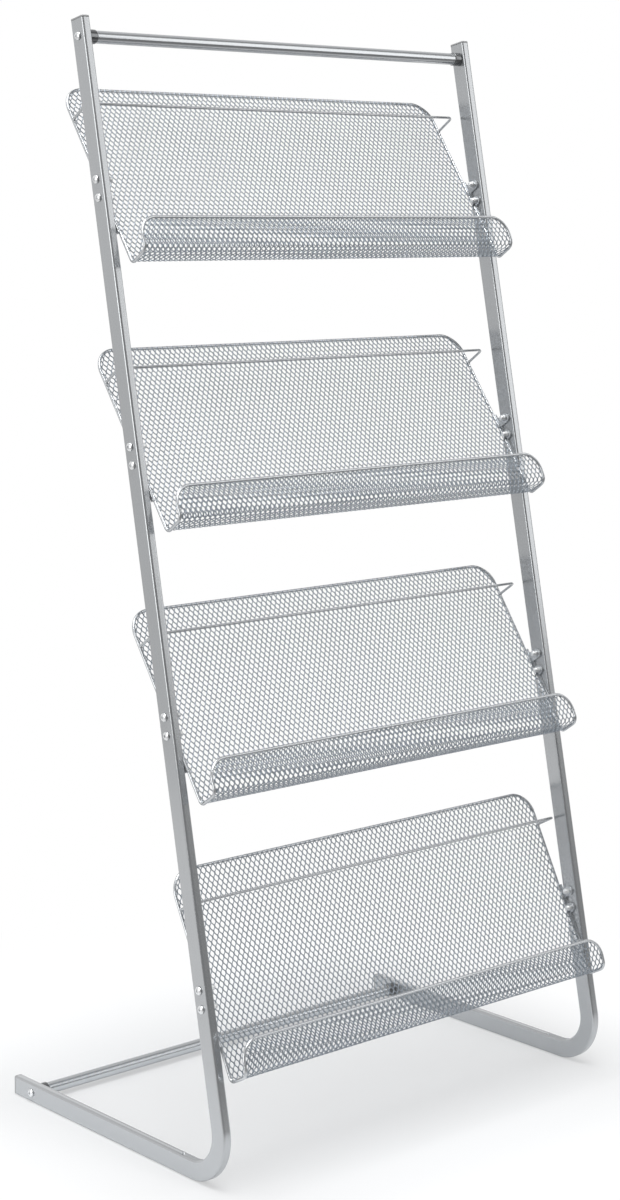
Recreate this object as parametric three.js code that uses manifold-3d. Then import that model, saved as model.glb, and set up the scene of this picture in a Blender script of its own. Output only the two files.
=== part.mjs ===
// Periodical display rack: two bent tube rails, two crossbars and four welded mesh trays.
// Millimetres, +X to the right as seen from the front, +Y to the back, +Z up, floor at Z = 0.
// The origin is on the floor, in the middle of the rack's footprint.

import * as THREE from "three";
import { mergeVertices } from "three/addons/utils/BufferGeometryUtils.js";
import Module from "manifold-3d";

const wasm = await Module();
wasm.setup();
const radians = THREE.MathUtils.degToRad;

// Side rails: rectangular tube, bent once at the floor
const OVERALL_WIDTH = 665; // over the rails' outer faces
const RAIL_DEPTH = 25; // the wide side face
const RAIL_WIDTH = 12; // the narrow front face
const RAIL_WALL = 1.2;
const RAIL_CORNER = 2.5; // outer radius of the tube's long edges
const RAIL_LEAN = radians(11.3); // of the uprights, back from vertical
const BEND_INNER_RADIUS = 40;
const LEG_LENGTH = 377; // straight part of the base leg

// Heights along the upright, from the end of the bend
const FIRST_TIER_RISE = 146.5; // to the lower screw of the lowest tray
const TIER_PITCH = 330;
const TOP_BAR_RISE = 201; // from the highest tray's lower screw to the top crossbar
const RAIL_TOP_MARGIN = 21; // from the top crossbar to the tube's end
const BASE_BAR_INSET = 37; // from the leg's rear end to the base crossbar

// Crossbars and the ferrules between their ends and the rails
const BAR_DIAMETER = 16;
const BAR_WALL = 1.2;
const FERRULE_DIAMETER = 18;
const FERRULE_LENGTH = 12;
const FERRULE_CHAMFER = 1;
const FERRULE_SPIGOT = 18;
const FERRULE_BORE_DEPTH = 22;

// End plugs of the rails
const PLUG_FLANGE = 1.8;
const PLUG_CROWN = 0.8;
const PLUG_CROWN_INSET = 1.4;
const PLUG_SPIGOT = 14;

// Trays, measured along the panel and square to it, from the axis of the lower screw
const PANEL_LEANS = [27.5, 34.5, 35.5, 34.5].map(radians); // back from vertical, lowest tray first
const PANEL_SETBACK = 6.6; // the panel's middle plane, behind the screw's axis
const PANEL_RISE = 169.5;
const PANEL_DROP = 92;
const FLOOR_DEPTH = 33;
const LIP_HEIGHT = 41.5;
const LIP_SPLAY = radians(10); // the lip opens forwards from the panel's direction
const PANEL_CORNER = 32;
const LIP_CORNER = 26;
const FOLD_RADIUS = 6; // between panel and floor
const LIP_FOLD_RADIUS = 11; // between floor and lip
const MESH_THICKNESS = 1.2;
const RIM_WIRE = 4;
const BAIL_WIRE = 3.5;
const BAIL_RISE = 122;
const BAIL_STANDOFF = 34; // in front of the panel's middle plane
const BAIL_BEND = 7;

// Openings of the sheet: a plain grid in place of the expanded metal's much finer one
const OPENING_COLUMNS = 8;
const PANEL_OPENING_ROWS = 2;
const OPENING_BAR = 9; // the metal between two openings

// Fixing tabs welded to the rim's sides
const TAB_THICKNESS = 2.5;
const TAB_RISE = 34;
const TAB_DROP = 48;
const TAB_BACK_MARGIN = 2.2; // of the tab's strip, behind the rim's centre line
const TAB_FRONT_MARGIN = 3; // in front of it
const EAR_RADIUS = 6.5;
const WELD_SINK = 0.5; // depth of the rim wire in the tab

// Fasteners
const TRAY_SCREW_PITCH = 22.7; // between the two screws of a tray's side, along the rail
const SCREW_DIAMETER = 5;
const HEAD_DIAMETER = 10.5;
const HEAD_HEIGHT = 3.4;
const HEAD_EDGE = 0.8;
const TRAY_SCREW_GRIP = 5.5; // length of thread inside the nut
const BAR_SCREW_GRIP = 16; // length of thread inside the ferrule
const NUT_FLATS = 8;
const NUT_HEX_HEIGHT = 4;
const NUT_DOME_DIAMETER = 7.6;
const NUT_HEIGHT = 9;
const NUT_BORE_DEPTH = 6.5;

// Clearances
const SEAT_GAP = 0.3; // between faces that rest on each other
const HOLE_CLEARANCE = 0.3; // round a shank, at the radius
const CUT_OVERSHOOT = 2; // of a cutting solid, past the face that it cuts

// Faceting
const CORNER_STEPS = 3;
const BEND_STEPS = 12;
const WIRE_SIDES = 8;
const RIM_CORNER_STEPS = 6;
const FOLD_STEPS = 4;
const BAIL_BEND_STEPS = 4;
const ROUND_SIDES = 20;
const FASTENER_SIDES = 10;
const HEAD_STEPS = 3;

// Derived sizes
const railMiddle = OVERALL_WIDTH / 2 - RAIL_WIDTH / 2;
const railInnerFace = OVERALL_WIDTH / 2 - RAIL_WIDTH;
const bendRadius = BEND_INNER_RADIUS + RAIL_DEPTH / 2;
const bendAngle = Math.PI / 2 + RAIL_LEAN;
const bendCentreHeight = RAIL_DEPTH / 2 + bendRadius;
const tierCount = PANEL_LEANS.length;
const topBarRise = FIRST_TIER_RISE + (tierCount - 1) * TIER_PITCH + TOP_BAR_RISE;
const uprightLength = topBarRise + RAIL_TOP_MARGIN;
const tabOuterFace = railInnerFace - SEAT_GAP;
const tabInnerFace = tabOuterFace - TAB_THICKNESS;
const rimHalfWidth = tabInnerFace + WELD_SINK - RIM_WIRE / 2;
const sheetInset = RIM_WIRE / 2 + SEAT_GAP;
const shankRadius = SCREW_DIAMETER / 2;
const holeRadius = shankRadius + HOLE_CLEARANCE;

const finish = {
  railPaint: { color: 0xaeb2b5, roughness: 0.38, metalness: 0.55 },
  plugPlastic: { color: 0xa9adb0, roughness: 0.5, metalness: 0.1 },
  barPaint: { color: 0xb4b7ba, roughness: 0.32, metalness: 0.6 },
  ferrulePlastic: { color: 0x2c2e31, roughness: 0.2, metalness: 0.1 },
  meshPaint: { color: 0xb9bcbf, roughness: 0.42, metalness: 0.5 },
  wirePaint: { color: 0xb0b3b6, roughness: 0.4, metalness: 0.5 },
  zincPlate: { color: 0xd6d8da, roughness: 0.22, metalness: 0.95 },
};

// A polyline whose own points are the stations of a sweep.
class Route extends THREE.Curve {
  constructor(points, closed = false) {
    super();
    this.points = points;
    this.closed = closed;
    this.steps = closed ? points.length : points.length - 1;
  }

  pointAtIndex(index) {
    const count = this.points.length;
    const inside = this.closed ? (index + count) % count : THREE.MathUtils.clamp(index, 0, count - 1);
    return this.points[inside];
  }

  getPointAt(share) {
    return this.pointAtIndex(Math.round(share * this.steps)).clone();
  }

  getTangentAt(share, target = new THREE.Vector3()) {
    const index = Math.round(share * this.steps);
    return target.subVectors(this.pointAtIndex(index + 1), this.pointAtIndex(index - 1)).normalize();
  }
}

// Joins rings of points, all with the same count, into one closed surface.
function loft(rings, closed = false) {
  const sides = rings[0].length;
  const corners = [];
  const indexOf = (ring, side) => (ring % rings.length) * sides + (side % sides);
  const lastRing = closed ? rings.length : rings.length - 1;
  for (let ring = 0; ring < lastRing; ring += 1) {
    for (let side = 0; side < sides; side += 1) {
      const here = indexOf(ring, side);
      const beside = indexOf(ring, side + 1);
      const aheadBeside = indexOf(ring + 1, side + 1);
      const ahead = indexOf(ring + 1, side);
      corners.push(here, beside, aheadBeside, here, aheadBeside, ahead);
    }
  }
  if (!closed) {
    for (let side = 1; side < sides - 1; side += 1) {
      corners.push(indexOf(0, 0), indexOf(0, side + 1), indexOf(0, side));
      const end = rings.length - 1;
      corners.push(indexOf(end, 0), indexOf(end, side), indexOf(end, side + 1));
    }
  }
  const geometry = new THREE.BufferGeometry().setFromPoints(rings.flat());
  geometry.setIndex(corners);
  return geometry;
}

// Carries a flat section along a route. A flat route's section can be held to an axis across the route.
function sweep(section, route, heldAxis) {
  const frames = route.computeFrenetFrames(route.steps, route.closed);
  const rings = route.points.map((point, index) => {
    const sideways = heldAxis ?? frames.normals[index];
    const upwards = frames.tangents[index].clone().cross(sideways);
    return section.map((corner) =>
      point.clone().addScaledVector(sideways, corner.x).addScaledVector(upwards, corner.y),
    );
  });
  return loft(rings, route.closed);
}

// Points along an arc of a circle, both ends included.
function arcPoints(centre, radius, from, to, steps) {
  return Array.from({ length: steps + 1 }, (_, step) => {
    const angle = from + ((to - from) * step) / steps;
    return new THREE.Vector2(centre.x + radius * Math.cos(angle), centre.y + radius * Math.sin(angle));
  });
}

function roundedRectangle(width, depth, radius) {
  const quarter = Math.PI / 2;
  const signs = [
    [1, 1],
    [-1, 1],
    [-1, -1],
    [1, -1],
  ];
  return signs.flatMap(([signX, signY], turn) => {
    const centre = new THREE.Vector2(signX * (width / 2 - radius), signY * (depth / 2 - radius));
    return arcPoints(centre, radius, turn * quarter, (turn + 1) * quarter, CORNER_STEPS);
  });
}

function circleSection(diameter, sides) {
  return arcPoints(new THREE.Vector2(), diameter / 2, 0, 2 * Math.PI, sides).slice(0, sides);
}

function solidOf(geometry) {
  const bare = geometry.clone();
  bare.deleteAttribute("normal");
  bare.deleteAttribute("uv");
  const merged = mergeVertices(bare);
  return new wasm.Manifold(
    new wasm.Mesh({
      numProp: 3,
      vertProperties: merged.attributes.position.array,
      triVerts: new Uint32Array(merged.index.array),
    }),
  );
}

function geometryOf(solid) {
  const mesh = solid.getMesh();
  const geometry = new THREE.BufferGeometry();
  geometry.setAttribute("position", new THREE.BufferAttribute(mesh.vertProperties, 3));
  geometry.setIndex(new THREE.BufferAttribute(mesh.triVerts, 1));
  geometry.computeVertexNormals();
  return geometry;
}

// A solid of revolution about X, from a profile of (radius, x) points.
function turned(profile, sides) {
  const points = profile.map(([radius, x]) => new THREE.Vector2(radius, x));
  return new THREE.LatheGeometry(points, sides).rotateZ(-Math.PI / 2);
}

function roundBar(radius, fromX, toX, sides) {
  return turned(
    [
      [0, fromX],
      [radius, fromX],
      [radius, toX],
      [0, toX],
    ],
    sides,
  );
}

function piece(name, geometry, look) {
  const mesh = new THREE.Mesh(geometry, new THREE.MeshStandardMaterial(look));
  mesh.name = name;
  return mesh;
}

const sideNames = [
  ["left", -1],
  ["right", 1],
];

// Places on the rails, as points in the YZ plane
const bendEnd = new THREE.Vector3(
  0,
  -bendRadius * Math.cos(RAIL_LEAN),
  bendCentreHeight + bendRadius * Math.sin(RAIL_LEAN),
);
const uprightDirection = new THREE.Vector3(0, Math.sin(RAIL_LEAN), Math.cos(RAIL_LEAN));

function onUpright(rise) {
  return bendEnd.clone().addScaledVector(uprightDirection, rise);
}

const baseBarPlace = new THREE.Vector3(0, LEG_LENGTH - BASE_BAR_INSET, RAIL_DEPTH / 2);
const topBarPlace = onUpright(topBarRise);

function railRoute(overshoot) {
  const points = [new THREE.Vector3(0, LEG_LENGTH + overshoot, RAIL_DEPTH / 2)];
  for (let step = 0; step <= BEND_STEPS; step += 1) {
    const angle = (bendAngle * step) / BEND_STEPS;
    const y = -bendRadius * Math.sin(angle);
    points.push(new THREE.Vector3(0, y, bendCentreHeight - bendRadius * Math.cos(angle)));
  }
  points.push(onUpright(uprightLength + overshoot));
  return new Route(points);
}

function railScrewPlaces() {
  const places = [baseBarPlace, topBarPlace];
  for (let tier = 0; tier < tierCount; tier += 1) {
    const lower = FIRST_TIER_RISE + tier * TIER_PITCH;
    places.push(onUpright(lower), onUpright(lower + TRAY_SCREW_PITCH));
  }
  return places;
}

function railGeometry() {
  const boreCorner = RAIL_CORNER - RAIL_WALL;
  const outer = roundedRectangle(RAIL_WIDTH, RAIL_DEPTH, RAIL_CORNER);
  const bore = roundedRectangle(RAIL_WIDTH - 2 * RAIL_WALL, RAIL_DEPTH - 2 * RAIL_WALL, boreCorner);
  const reach = RAIL_WIDTH / 2 + CUT_OVERSHOOT;
  const acrossX = new THREE.Vector3(1, 0, 0);
  const skin = solidOf(sweep(outer, railRoute(0), acrossX));
  let tube = skin.subtract(solidOf(sweep(bore, railRoute(CUT_OVERSHOOT), acrossX)));
  for (const place of railScrewPlaces()) {
    const drill = roundBar(holeRadius, -reach, reach, FASTENER_SIDES).translate(0, place.y, place.z);
    tube = tube.subtract(solidOf(drill));
  }
  return geometryOf(tube);
}

// End plug: a spigot for the tube's bore under a flange with a slight crown, rising along Z.
function plugGeometry() {
  const boreLoss = 2 * (RAIL_WALL + SEAT_GAP);
  const spigotCorner = RAIL_CORNER - RAIL_WALL - SEAT_GAP;
  const spigot = roundedRectangle(RAIL_WIDTH - boreLoss, RAIL_DEPTH - boreLoss, spigotCorner);
  const flange = roundedRectangle(RAIL_WIDTH, RAIL_DEPTH, RAIL_CORNER);
  const crown = roundedRectangle(
    RAIL_WIDTH - 2 * PLUG_CROWN_INSET,
    RAIL_DEPTH - 2 * PLUG_CROWN_INSET,
    RAIL_CORNER - PLUG_CROWN_INSET,
  );
  const levels = [
    [spigot, -PLUG_SPIGOT],
    [spigot, SEAT_GAP],
    [flange, SEAT_GAP],
    [flange, SEAT_GAP + PLUG_FLANGE],
    [crown, SEAT_GAP + PLUG_FLANGE + PLUG_CROWN],
  ];
  return loft(
    levels.map(([outline, z]) => outline.map((corner) => new THREE.Vector3(corner.x, corner.y, z))),
  );
}

// A crossbar's tube, along X between its two ferrules.
function barGeometry() {
  const half = railInnerFace - FERRULE_LENGTH - 2 * SEAT_GAP;
  const reach = half + CUT_OVERSHOOT;
  const tube = solidOf(roundBar(BAR_DIAMETER / 2, -half, half, ROUND_SIDES));
  const bore = solidOf(roundBar(BAR_DIAMETER / 2 - BAR_WALL, -reach, reach, ROUND_SIDES));
  return geometryOf(tube.subtract(bore));
}

// A ferrule: its collar's outer face at X = 0 rests on the rail, its spigot points to -X into the bar.
function ferruleGeometry() {
  const spigotRadius = BAR_DIAMETER / 2 - BAR_WALL - SEAT_GAP;
  const collarRadius = FERRULE_DIAMETER / 2;
  return turned(
    [
      [0, -FERRULE_LENGTH - FERRULE_SPIGOT],
      [spigotRadius, -FERRULE_LENGTH - FERRULE_SPIGOT],
      [spigotRadius, -FERRULE_LENGTH],
      [collarRadius - FERRULE_CHAMFER, -FERRULE_LENGTH],
      [collarRadius, -FERRULE_LENGTH + FERRULE_CHAMFER],
      [collarRadius, 0],
      [holeRadius, 0],
      [holeRadius, -FERRULE_BORE_DEPTH],
      [0, -FERRULE_BORE_DEPTH],
    ],
    ROUND_SIDES,
  );
}

// A screw with a domed head: the head's seat is at X = 0, its shank points to -X.
function screwGeometry(length) {
  const dome = arcPoints(new THREE.Vector2(), 1, 0, Math.PI / 2, HEAD_STEPS).map((point) => [
    (point.x * HEAD_DIAMETER) / 2,
    HEAD_EDGE + point.y * (HEAD_HEIGHT - HEAD_EDGE),
  ]);
  dome[HEAD_STEPS][0] = 0;
  const profile = [
    [0, -length],
    [shankRadius, -length],
    [shankRadius, 0],
    [HEAD_DIAMETER / 2, 0],
  ];
  return turned([...profile, ...dome], FASTENER_SIDES);
}

// A dome nut: its seat is at X = 0 and its dome points to -X, with flats facing +Y and -Y.
function nutGeometry() {
  const hexRadius = NUT_FLATS / Math.sqrt(3);
  const hex = new THREE.CylinderGeometry(hexRadius, hexRadius, NUT_HEX_HEIGHT, 6);
  hex.rotateZ(-Math.PI / 2).translate(-NUT_HEX_HEIGHT / 2, 0, 0);
  const domeRadius = NUT_DOME_DIAMETER / 2;
  const dome = arcPoints(new THREE.Vector2(), domeRadius, Math.PI / 2, 0, HEAD_STEPS).map((point) => [
    point.x,
    domeRadius - NUT_HEIGHT - point.y,
  ]);
  dome[0][0] = 0;
  const root = -NUT_HEX_HEIGHT / 2;
  const cap = turned([...dome, [domeRadius, root], [0, root]], FASTENER_SIDES);
  const bore = roundBar(holeRadius, -NUT_BORE_DEPTH, CUT_OVERSHOOT, FASTENER_SIDES);
  return geometryOf(solidOf(hex).add(solidOf(cap)).subtract(solidOf(bore)));
}

// The tray's side profile, in (y, z): down the panel, round the fold, along the floor and up the lip.
function trayProfile() {
  const lipTurn = Math.PI / 2 - LIP_SPLAY;
  const lipTangent = LIP_FOLD_RADIUS * Math.tan(lipTurn / 2);
  const lipFoot = new THREE.Vector2(PANEL_SETBACK - FLOOR_DEPTH, -PANEL_DROP);
  const lipTop = lipFoot.clone();
  lipTop.x -= LIP_HEIGHT * Math.sin(LIP_SPLAY);
  lipTop.y += LIP_HEIGHT * Math.cos(LIP_SPLAY);
  const foldCentre = new THREE.Vector2(PANEL_SETBACK - FOLD_RADIUS, FOLD_RADIUS - PANEL_DROP);
  const lipCentre = new THREE.Vector2(lipFoot.x + lipTangent, LIP_FOLD_RADIUS - PANEL_DROP);
  const down = -Math.PI / 2;
  const profile = new THREE.Path();
  profile.moveTo(PANEL_SETBACK, PANEL_RISE);
  profile.lineTo(PANEL_SETBACK, foldCentre.y);
  profile.absarc(foldCentre.x, foldCentre.y, FOLD_RADIUS, 0, down, true);
  profile.lineTo(lipCentre.x, -PANEL_DROP);
  profile.absarc(lipCentre.x, lipCentre.y, LIP_FOLD_RADIUS, down, down - lipTurn, true);
  profile.lineTo(lipTop.x, lipTop.y);
  return profile;
}

const profile = trayProfile();
const profileLength = profile.getLength();
const profileEnds = profile.getCurveLengths();

// Lengths along the profile, from the panel's top, at which the folds have their facets
const foldStations = [1, 3].flatMap((bend) =>
  Array.from({ length: FOLD_STEPS + 1 }, (_, step) => {
    const share = step / FOLD_STEPS;
    return THREE.MathUtils.lerp(profileEnds[bend - 1], profileEnds[bend], share);
  }),
);

// A point of the bent sheet: x across, a length along the profile, and a height in front of the sheet.
function onSheet(x, length, height) {
  const share = THREE.MathUtils.clamp(length / profileLength, 0, 1);
  const point = profile.getPoint(share);
  const tangent = profile.getTangent(share);
  return new THREE.Vector3(x, point.x + tangent.y * height, point.y - tangent.x * height);
}

// Half of the flat sheet's outline, from the panel's top to the lip's top, as (half width, length).
function halfOutline(inset) {
  const panelRadius = PANEL_CORNER - inset;
  const lipRadius = LIP_CORNER - inset;
  const half = rimHalfWidth - inset;
  const panelCentre = new THREE.Vector2(half - panelRadius, PANEL_CORNER);
  const lipCentre = new THREE.Vector2(half - lipRadius, profileLength - LIP_CORNER);
  const quarter = Math.PI / 2;
  return [
    ...arcPoints(panelCentre, panelRadius, -quarter, 0, RIM_CORNER_STEPS),
    ...foldStations.map((length) => new THREE.Vector2(half, length)),
    ...arcPoints(lipCentre, lipRadius, 0, quarter, RIM_CORNER_STEPS),
  ].sort((first, second) => first.y - second.y);
}

// A slab that follows the bent sheet, through rows given as { left, right, length }.
function slabAlongSheet(rows, thickness) {
  const back = -thickness / 2;
  const front = thickness / 2;
  const rings = rows.map(({ left, right, length }) => [
    onSheet(right, length, back),
    onSheet(right, length, front),
    onSheet(left, length, front),
    onSheet(left, length, back),
  ]);
  return solidOf(loft(rings));
}

function outlineRows(inset) {
  return halfOutline(inset).map(({ x, y }) => ({ left: -x, right: x, length: y }));
}

// Blocks for the grid of openings in the sheet's flat stretches: panel, floor and lip.
function openingBlocks(thickness) {
  const columnPitch = (2 * rimHalfWidth) / OPENING_COLUMNS;
  const stretches = [
    { from: 0, to: profileEnds[0], rowCount: PANEL_OPENING_ROWS },
    { from: profileEnds[1], to: profileEnds[2], rowCount: 1 },
    { from: profileEnds[3], to: profileEnds[4], rowCount: 1 },
  ];
  return stretches.flatMap(({ from, to, rowCount }) => {
    const rowPitch = (to - from) / rowCount;
    return Array.from({ length: rowCount * OPENING_COLUMNS }, (_, index) => {
      const left = (index % OPENING_COLUMNS) * columnPitch - rimHalfWidth + OPENING_BAR / 2;
      const right = left + columnPitch - OPENING_BAR;
      const start = from + Math.floor(index / OPENING_COLUMNS) * rowPitch + OPENING_BAR / 2;
      const ends = [start, start + rowPitch - OPENING_BAR];
      return slabAlongSheet(
        ends.map((length) => ({ left, right, length })),
        thickness,
      );
    });
  });
}

function sheetGeometry() {
  const cutDepth = MESH_THICKNESS + 2 * CUT_OVERSHOOT;
  const inside = slabAlongSheet(outlineRows(sheetInset + OPENING_BAR), cutDepth);
  const openings = wasm.Manifold.union(openingBlocks(cutDepth)).intersect(inside);
  return geometryOf(slabAlongSheet(outlineRows(sheetInset), MESH_THICKNESS).subtract(openings));
}

// A plate with two ears, one round each screw, that lies along the rim's side.
function tabGeometry(ears) {
  const backEdge = PANEL_SETBACK + TAB_BACK_MARGIN;
  const frontEdge = PANEL_SETBACK - TAB_FRONT_MARGIN;
  const outline = new THREE.Shape();
  outline.moveTo(backEdge, -TAB_DROP);
  outline.lineTo(backEdge, TAB_RISE);
  outline.lineTo(frontEdge, TAB_RISE);
  for (const ear of ears) {
    outline.lineTo(frontEdge, ear.y + EAR_RADIUS);
    outline.absarc(ear.x, ear.y, EAR_RADIUS, Math.PI / 2, (Math.PI * 3) / 2, false);
    outline.lineTo(frontEdge, ear.y - EAR_RADIUS);
  }
  outline.lineTo(frontEdge, -TAB_DROP);
  for (const ear of ears) {
    outline.holes.push(new THREE.Path().absarc(ear.x, ear.y, holeRadius, 0, 2 * Math.PI, true));
  }
  const settings = { depth: TAB_THICKNESS, bevelEnabled: false, curveSegments: FASTENER_SIDES / 2 };
  const acrossX = new THREE.Matrix4().makeBasis(
    new THREE.Vector3(0, 1, 0),
    new THREE.Vector3(0, 0, 1),
    new THREE.Vector3(1, 0, 0),
  );
  return new THREE.ExtrudeGeometry(outline, settings).applyMatrix4(acrossX);
}

// The rim wire all round the sheet's edge, with its two tabs.
function rimGeometry(ears) {
  const right = halfOutline(0).map(({ x, y }) => onSheet(x, y, 0));
  const left = halfOutline(0).map(({ x, y }) => onSheet(-x, y, 0));
  const loop = new Route([...right, ...left.reverse()], true);
  const wire = solidOf(sweep(circleSection(RIM_WIRE, WIRE_SIDES), loop));
  const rightTab = solidOf(tabGeometry(ears).translate(tabInnerFace, 0, 0));
  const leftTab = solidOf(tabGeometry(ears).translate(-tabOuterFace, 0, 0));
  return geometryOf(wire.add(rightTab).add(leftTab));
}

// The bail: a wire bent to a U, with its two feet on the rim's sides.
function bailGeometry() {
  const footY = PANEL_SETBACK - RIM_WIRE / 2 - SEAT_GAP;
  const frontY = PANEL_SETBACK - BAIL_STANDOFF;
  const centre = new THREE.Vector2(rimHalfWidth - BAIL_BEND, frontY + BAIL_BEND);
  const bend = arcPoints(centre, BAIL_BEND, 0, -Math.PI / 2, BAIL_BEND_STEPS);
  const right = [new THREE.Vector2(rimHalfWidth, footY), ...bend];
  const left = right.map(({ x, y }) => new THREE.Vector2(-x, y)).reverse();
  const points = [...right, ...left].map(({ x, y }) => new THREE.Vector3(x, y, BAIL_RISE));
  return sweep(circleSection(BAIL_WIRE, WIRE_SIDES), new Route(points));
}

// Frame: rails with their plugs, crossbars with their ferrules and screws
function frameGroup() {
  const frame = new THREE.Group();
  const rail = railGeometry();
  const plug = plugGeometry();
  const ferrule = ferruleGeometry();
  const barScrew = screwGeometry(RAIL_WIDTH + 2 * SEAT_GAP + BAR_SCREW_GRIP);
  const topEnd = onUpright(uprightLength);
  const bars = [
    ["top", topBarPlace],
    ["base", baseBarPlace],
  ];
  for (const [side, sign] of sideNames) {
    const tube = piece(`rail_${side}`, rail, finish.railPaint);
    tube.position.x = sign * railMiddle;
    const topPlug = piece(`rail_top_plug_${side}`, plug, finish.plugPlastic);
    topPlug.position.set(sign * railMiddle, topEnd.y, topEnd.z);
    topPlug.rotation.x = -RAIL_LEAN;
    const legPlug = piece(`leg_end_plug_${side}`, plug, finish.plugPlastic);
    legPlug.position.set(sign * railMiddle, LEG_LENGTH, RAIL_DEPTH / 2);
    legPlug.rotation.x = -Math.PI / 2;
    frame.add(tube, topPlug, legPlug);
  }
  for (const [level, place] of bars) {
    const bar = piece(`${level}_crossbar`, barGeometry(), finish.barPaint);
    bar.position.copy(place);
    frame.add(bar);
    for (const [side, sign] of sideNames) {
      const collar = piece(`${level}_ferrule_${side}`, ferrule, finish.ferrulePlastic);
      collar.position.set(sign * (railInnerFace - SEAT_GAP), place.y, place.z);
      const screw = piece(`${level}_bar_screw_${side}`, barScrew, finish.zincPlate);
      screw.position.set(sign * (OVERALL_WIDTH / 2 + SEAT_GAP), place.y, place.z);
      for (const turnedPiece of [collar, screw]) {
        turnedPiece.rotation.z = sign > 0 ? 0 : Math.PI;
        frame.add(turnedPiece);
      }
    }
  }
  return frame;
}

const sheet = sheetGeometry();
const bail = bailGeometry();
const nut = nutGeometry();
const trayScrew = screwGeometry(RAIL_WIDTH + TAB_THICKNESS + 3 * SEAT_GAP + TRAY_SCREW_GRIP);

// One tray with its screws and nuts, in its panel's own frame with the lower screw's axis as origin.
function trayGroup(tier) {
  const name = `tray_${tier + 1}`;
  const tray = new THREE.Group();
  tray.position.copy(onUpright(FIRST_TIER_RISE + tier * TIER_PITCH));
  tray.rotation.x = -PANEL_LEANS[tier];
  const tilt = PANEL_LEANS[tier] - RAIL_LEAN;
  const lower = new THREE.Vector2(0, 0);
  const upper = new THREE.Vector2(-Math.sin(tilt), Math.cos(tilt)).multiplyScalar(TRAY_SCREW_PITCH);
  tray.add(
    piece(`${name}_mesh`, sheet, finish.meshPaint),
    piece(`${name}_rim`, rimGeometry([upper, lower]), finish.wirePaint),
    piece(`${name}_bail`, bail, finish.wirePaint),
  );
  const axes = [
    ["lower", lower],
    ["upper", upper],
  ];
  for (const [side, sign] of sideNames) {
    for (const [level, axis] of axes) {
      const screw = piece(`${name}_screw_${side}_${level}`, trayScrew, finish.zincPlate);
      screw.position.set(sign * (OVERALL_WIDTH / 2 + SEAT_GAP), axis.x, axis.y);
      const cap = piece(`${name}_nut_${side}_${level}`, nut, finish.zincPlate);
      cap.position.set(sign * (tabInnerFace - SEAT_GAP), axis.x, axis.y);
      for (const turnedPiece of [screw, cap]) {
        turnedPiece.rotation.z = sign > 0 ? 0 : Math.PI;
        tray.add(turnedPiece);
      }
    }
  }
  return tray;
}

const rack = new THREE.Group();
rack.add(frameGroup());
for (let tier = 0; tier < tierCount; tier += 1) {
  rack.add(trayGroup(tier));
}
const footprint = new THREE.Box3().setFromObject(rack, true);
rack.position.y = -(footprint.min.y + footprint.max.y) / 2;

const group = new THREE.Group();
group.add(rack);

export default group;
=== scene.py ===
"""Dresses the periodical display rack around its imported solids.

Two bent rails of silver-painted tube stand on their own legs. Two round crossbars tie them together, and
four trays of expanded metal, each with a rim of wire, a front lip and a wire bail, hang between them.

Lengths are metres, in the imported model's frame: +X to the right as seen from the front, +Y to the back and
+Z up.
"""

from __future__ import annotations

import logging
import math
from collections.abc import Callable, Iterable, Sequence
from dataclasses import dataclass
from enum import Enum

import bmesh
import bpy
import numpy as np
from mathutils import Matrix, Vector

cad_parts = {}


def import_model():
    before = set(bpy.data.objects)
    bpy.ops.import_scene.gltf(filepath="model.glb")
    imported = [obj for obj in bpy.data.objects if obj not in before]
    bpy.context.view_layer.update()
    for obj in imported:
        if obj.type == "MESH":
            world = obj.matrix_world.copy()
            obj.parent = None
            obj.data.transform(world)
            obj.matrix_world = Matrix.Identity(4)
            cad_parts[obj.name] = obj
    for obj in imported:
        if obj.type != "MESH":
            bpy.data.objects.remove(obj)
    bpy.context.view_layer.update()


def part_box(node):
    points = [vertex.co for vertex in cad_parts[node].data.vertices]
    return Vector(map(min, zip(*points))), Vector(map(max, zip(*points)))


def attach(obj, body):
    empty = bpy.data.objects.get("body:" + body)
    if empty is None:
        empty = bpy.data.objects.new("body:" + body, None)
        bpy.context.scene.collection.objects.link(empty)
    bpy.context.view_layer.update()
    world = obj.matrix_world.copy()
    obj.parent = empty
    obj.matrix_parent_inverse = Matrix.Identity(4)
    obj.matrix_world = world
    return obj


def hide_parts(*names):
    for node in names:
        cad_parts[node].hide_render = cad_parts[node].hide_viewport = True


LOG = logging.getLogger("display_rack")
MM = 0.001
BODY = "root"
CREASE = math.radians(38)
Colour = tuple[float, float, float]
Ring = list[Vector]


class Slot(Enum):
    """Names of material slots, which no piece here is given."""

    FRAME = "frame_paint"
    TRAY = "tray_paint"
    FERRULE = "ferrule_plastic"
    PLUG = "plug_plastic"
    ZINC = "bright_zinc"


class Side(Enum):
    """The two sides of the rack, with their direction along X."""

    LEFT = -1
    RIGHT = 1

    @property
    def word(self) -> str:
        """The side's name in lower case."""
        return self.name.lower()


class InputKind(Enum):
    """The kinds of named input that a geometry tree takes."""

    NUMBER = "NodeSocketFloat"
    COUNT = "NodeSocketInt"
    OBJECT = "NodeSocketObject"
    MATERIAL = "NodeSocketMaterial"


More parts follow.
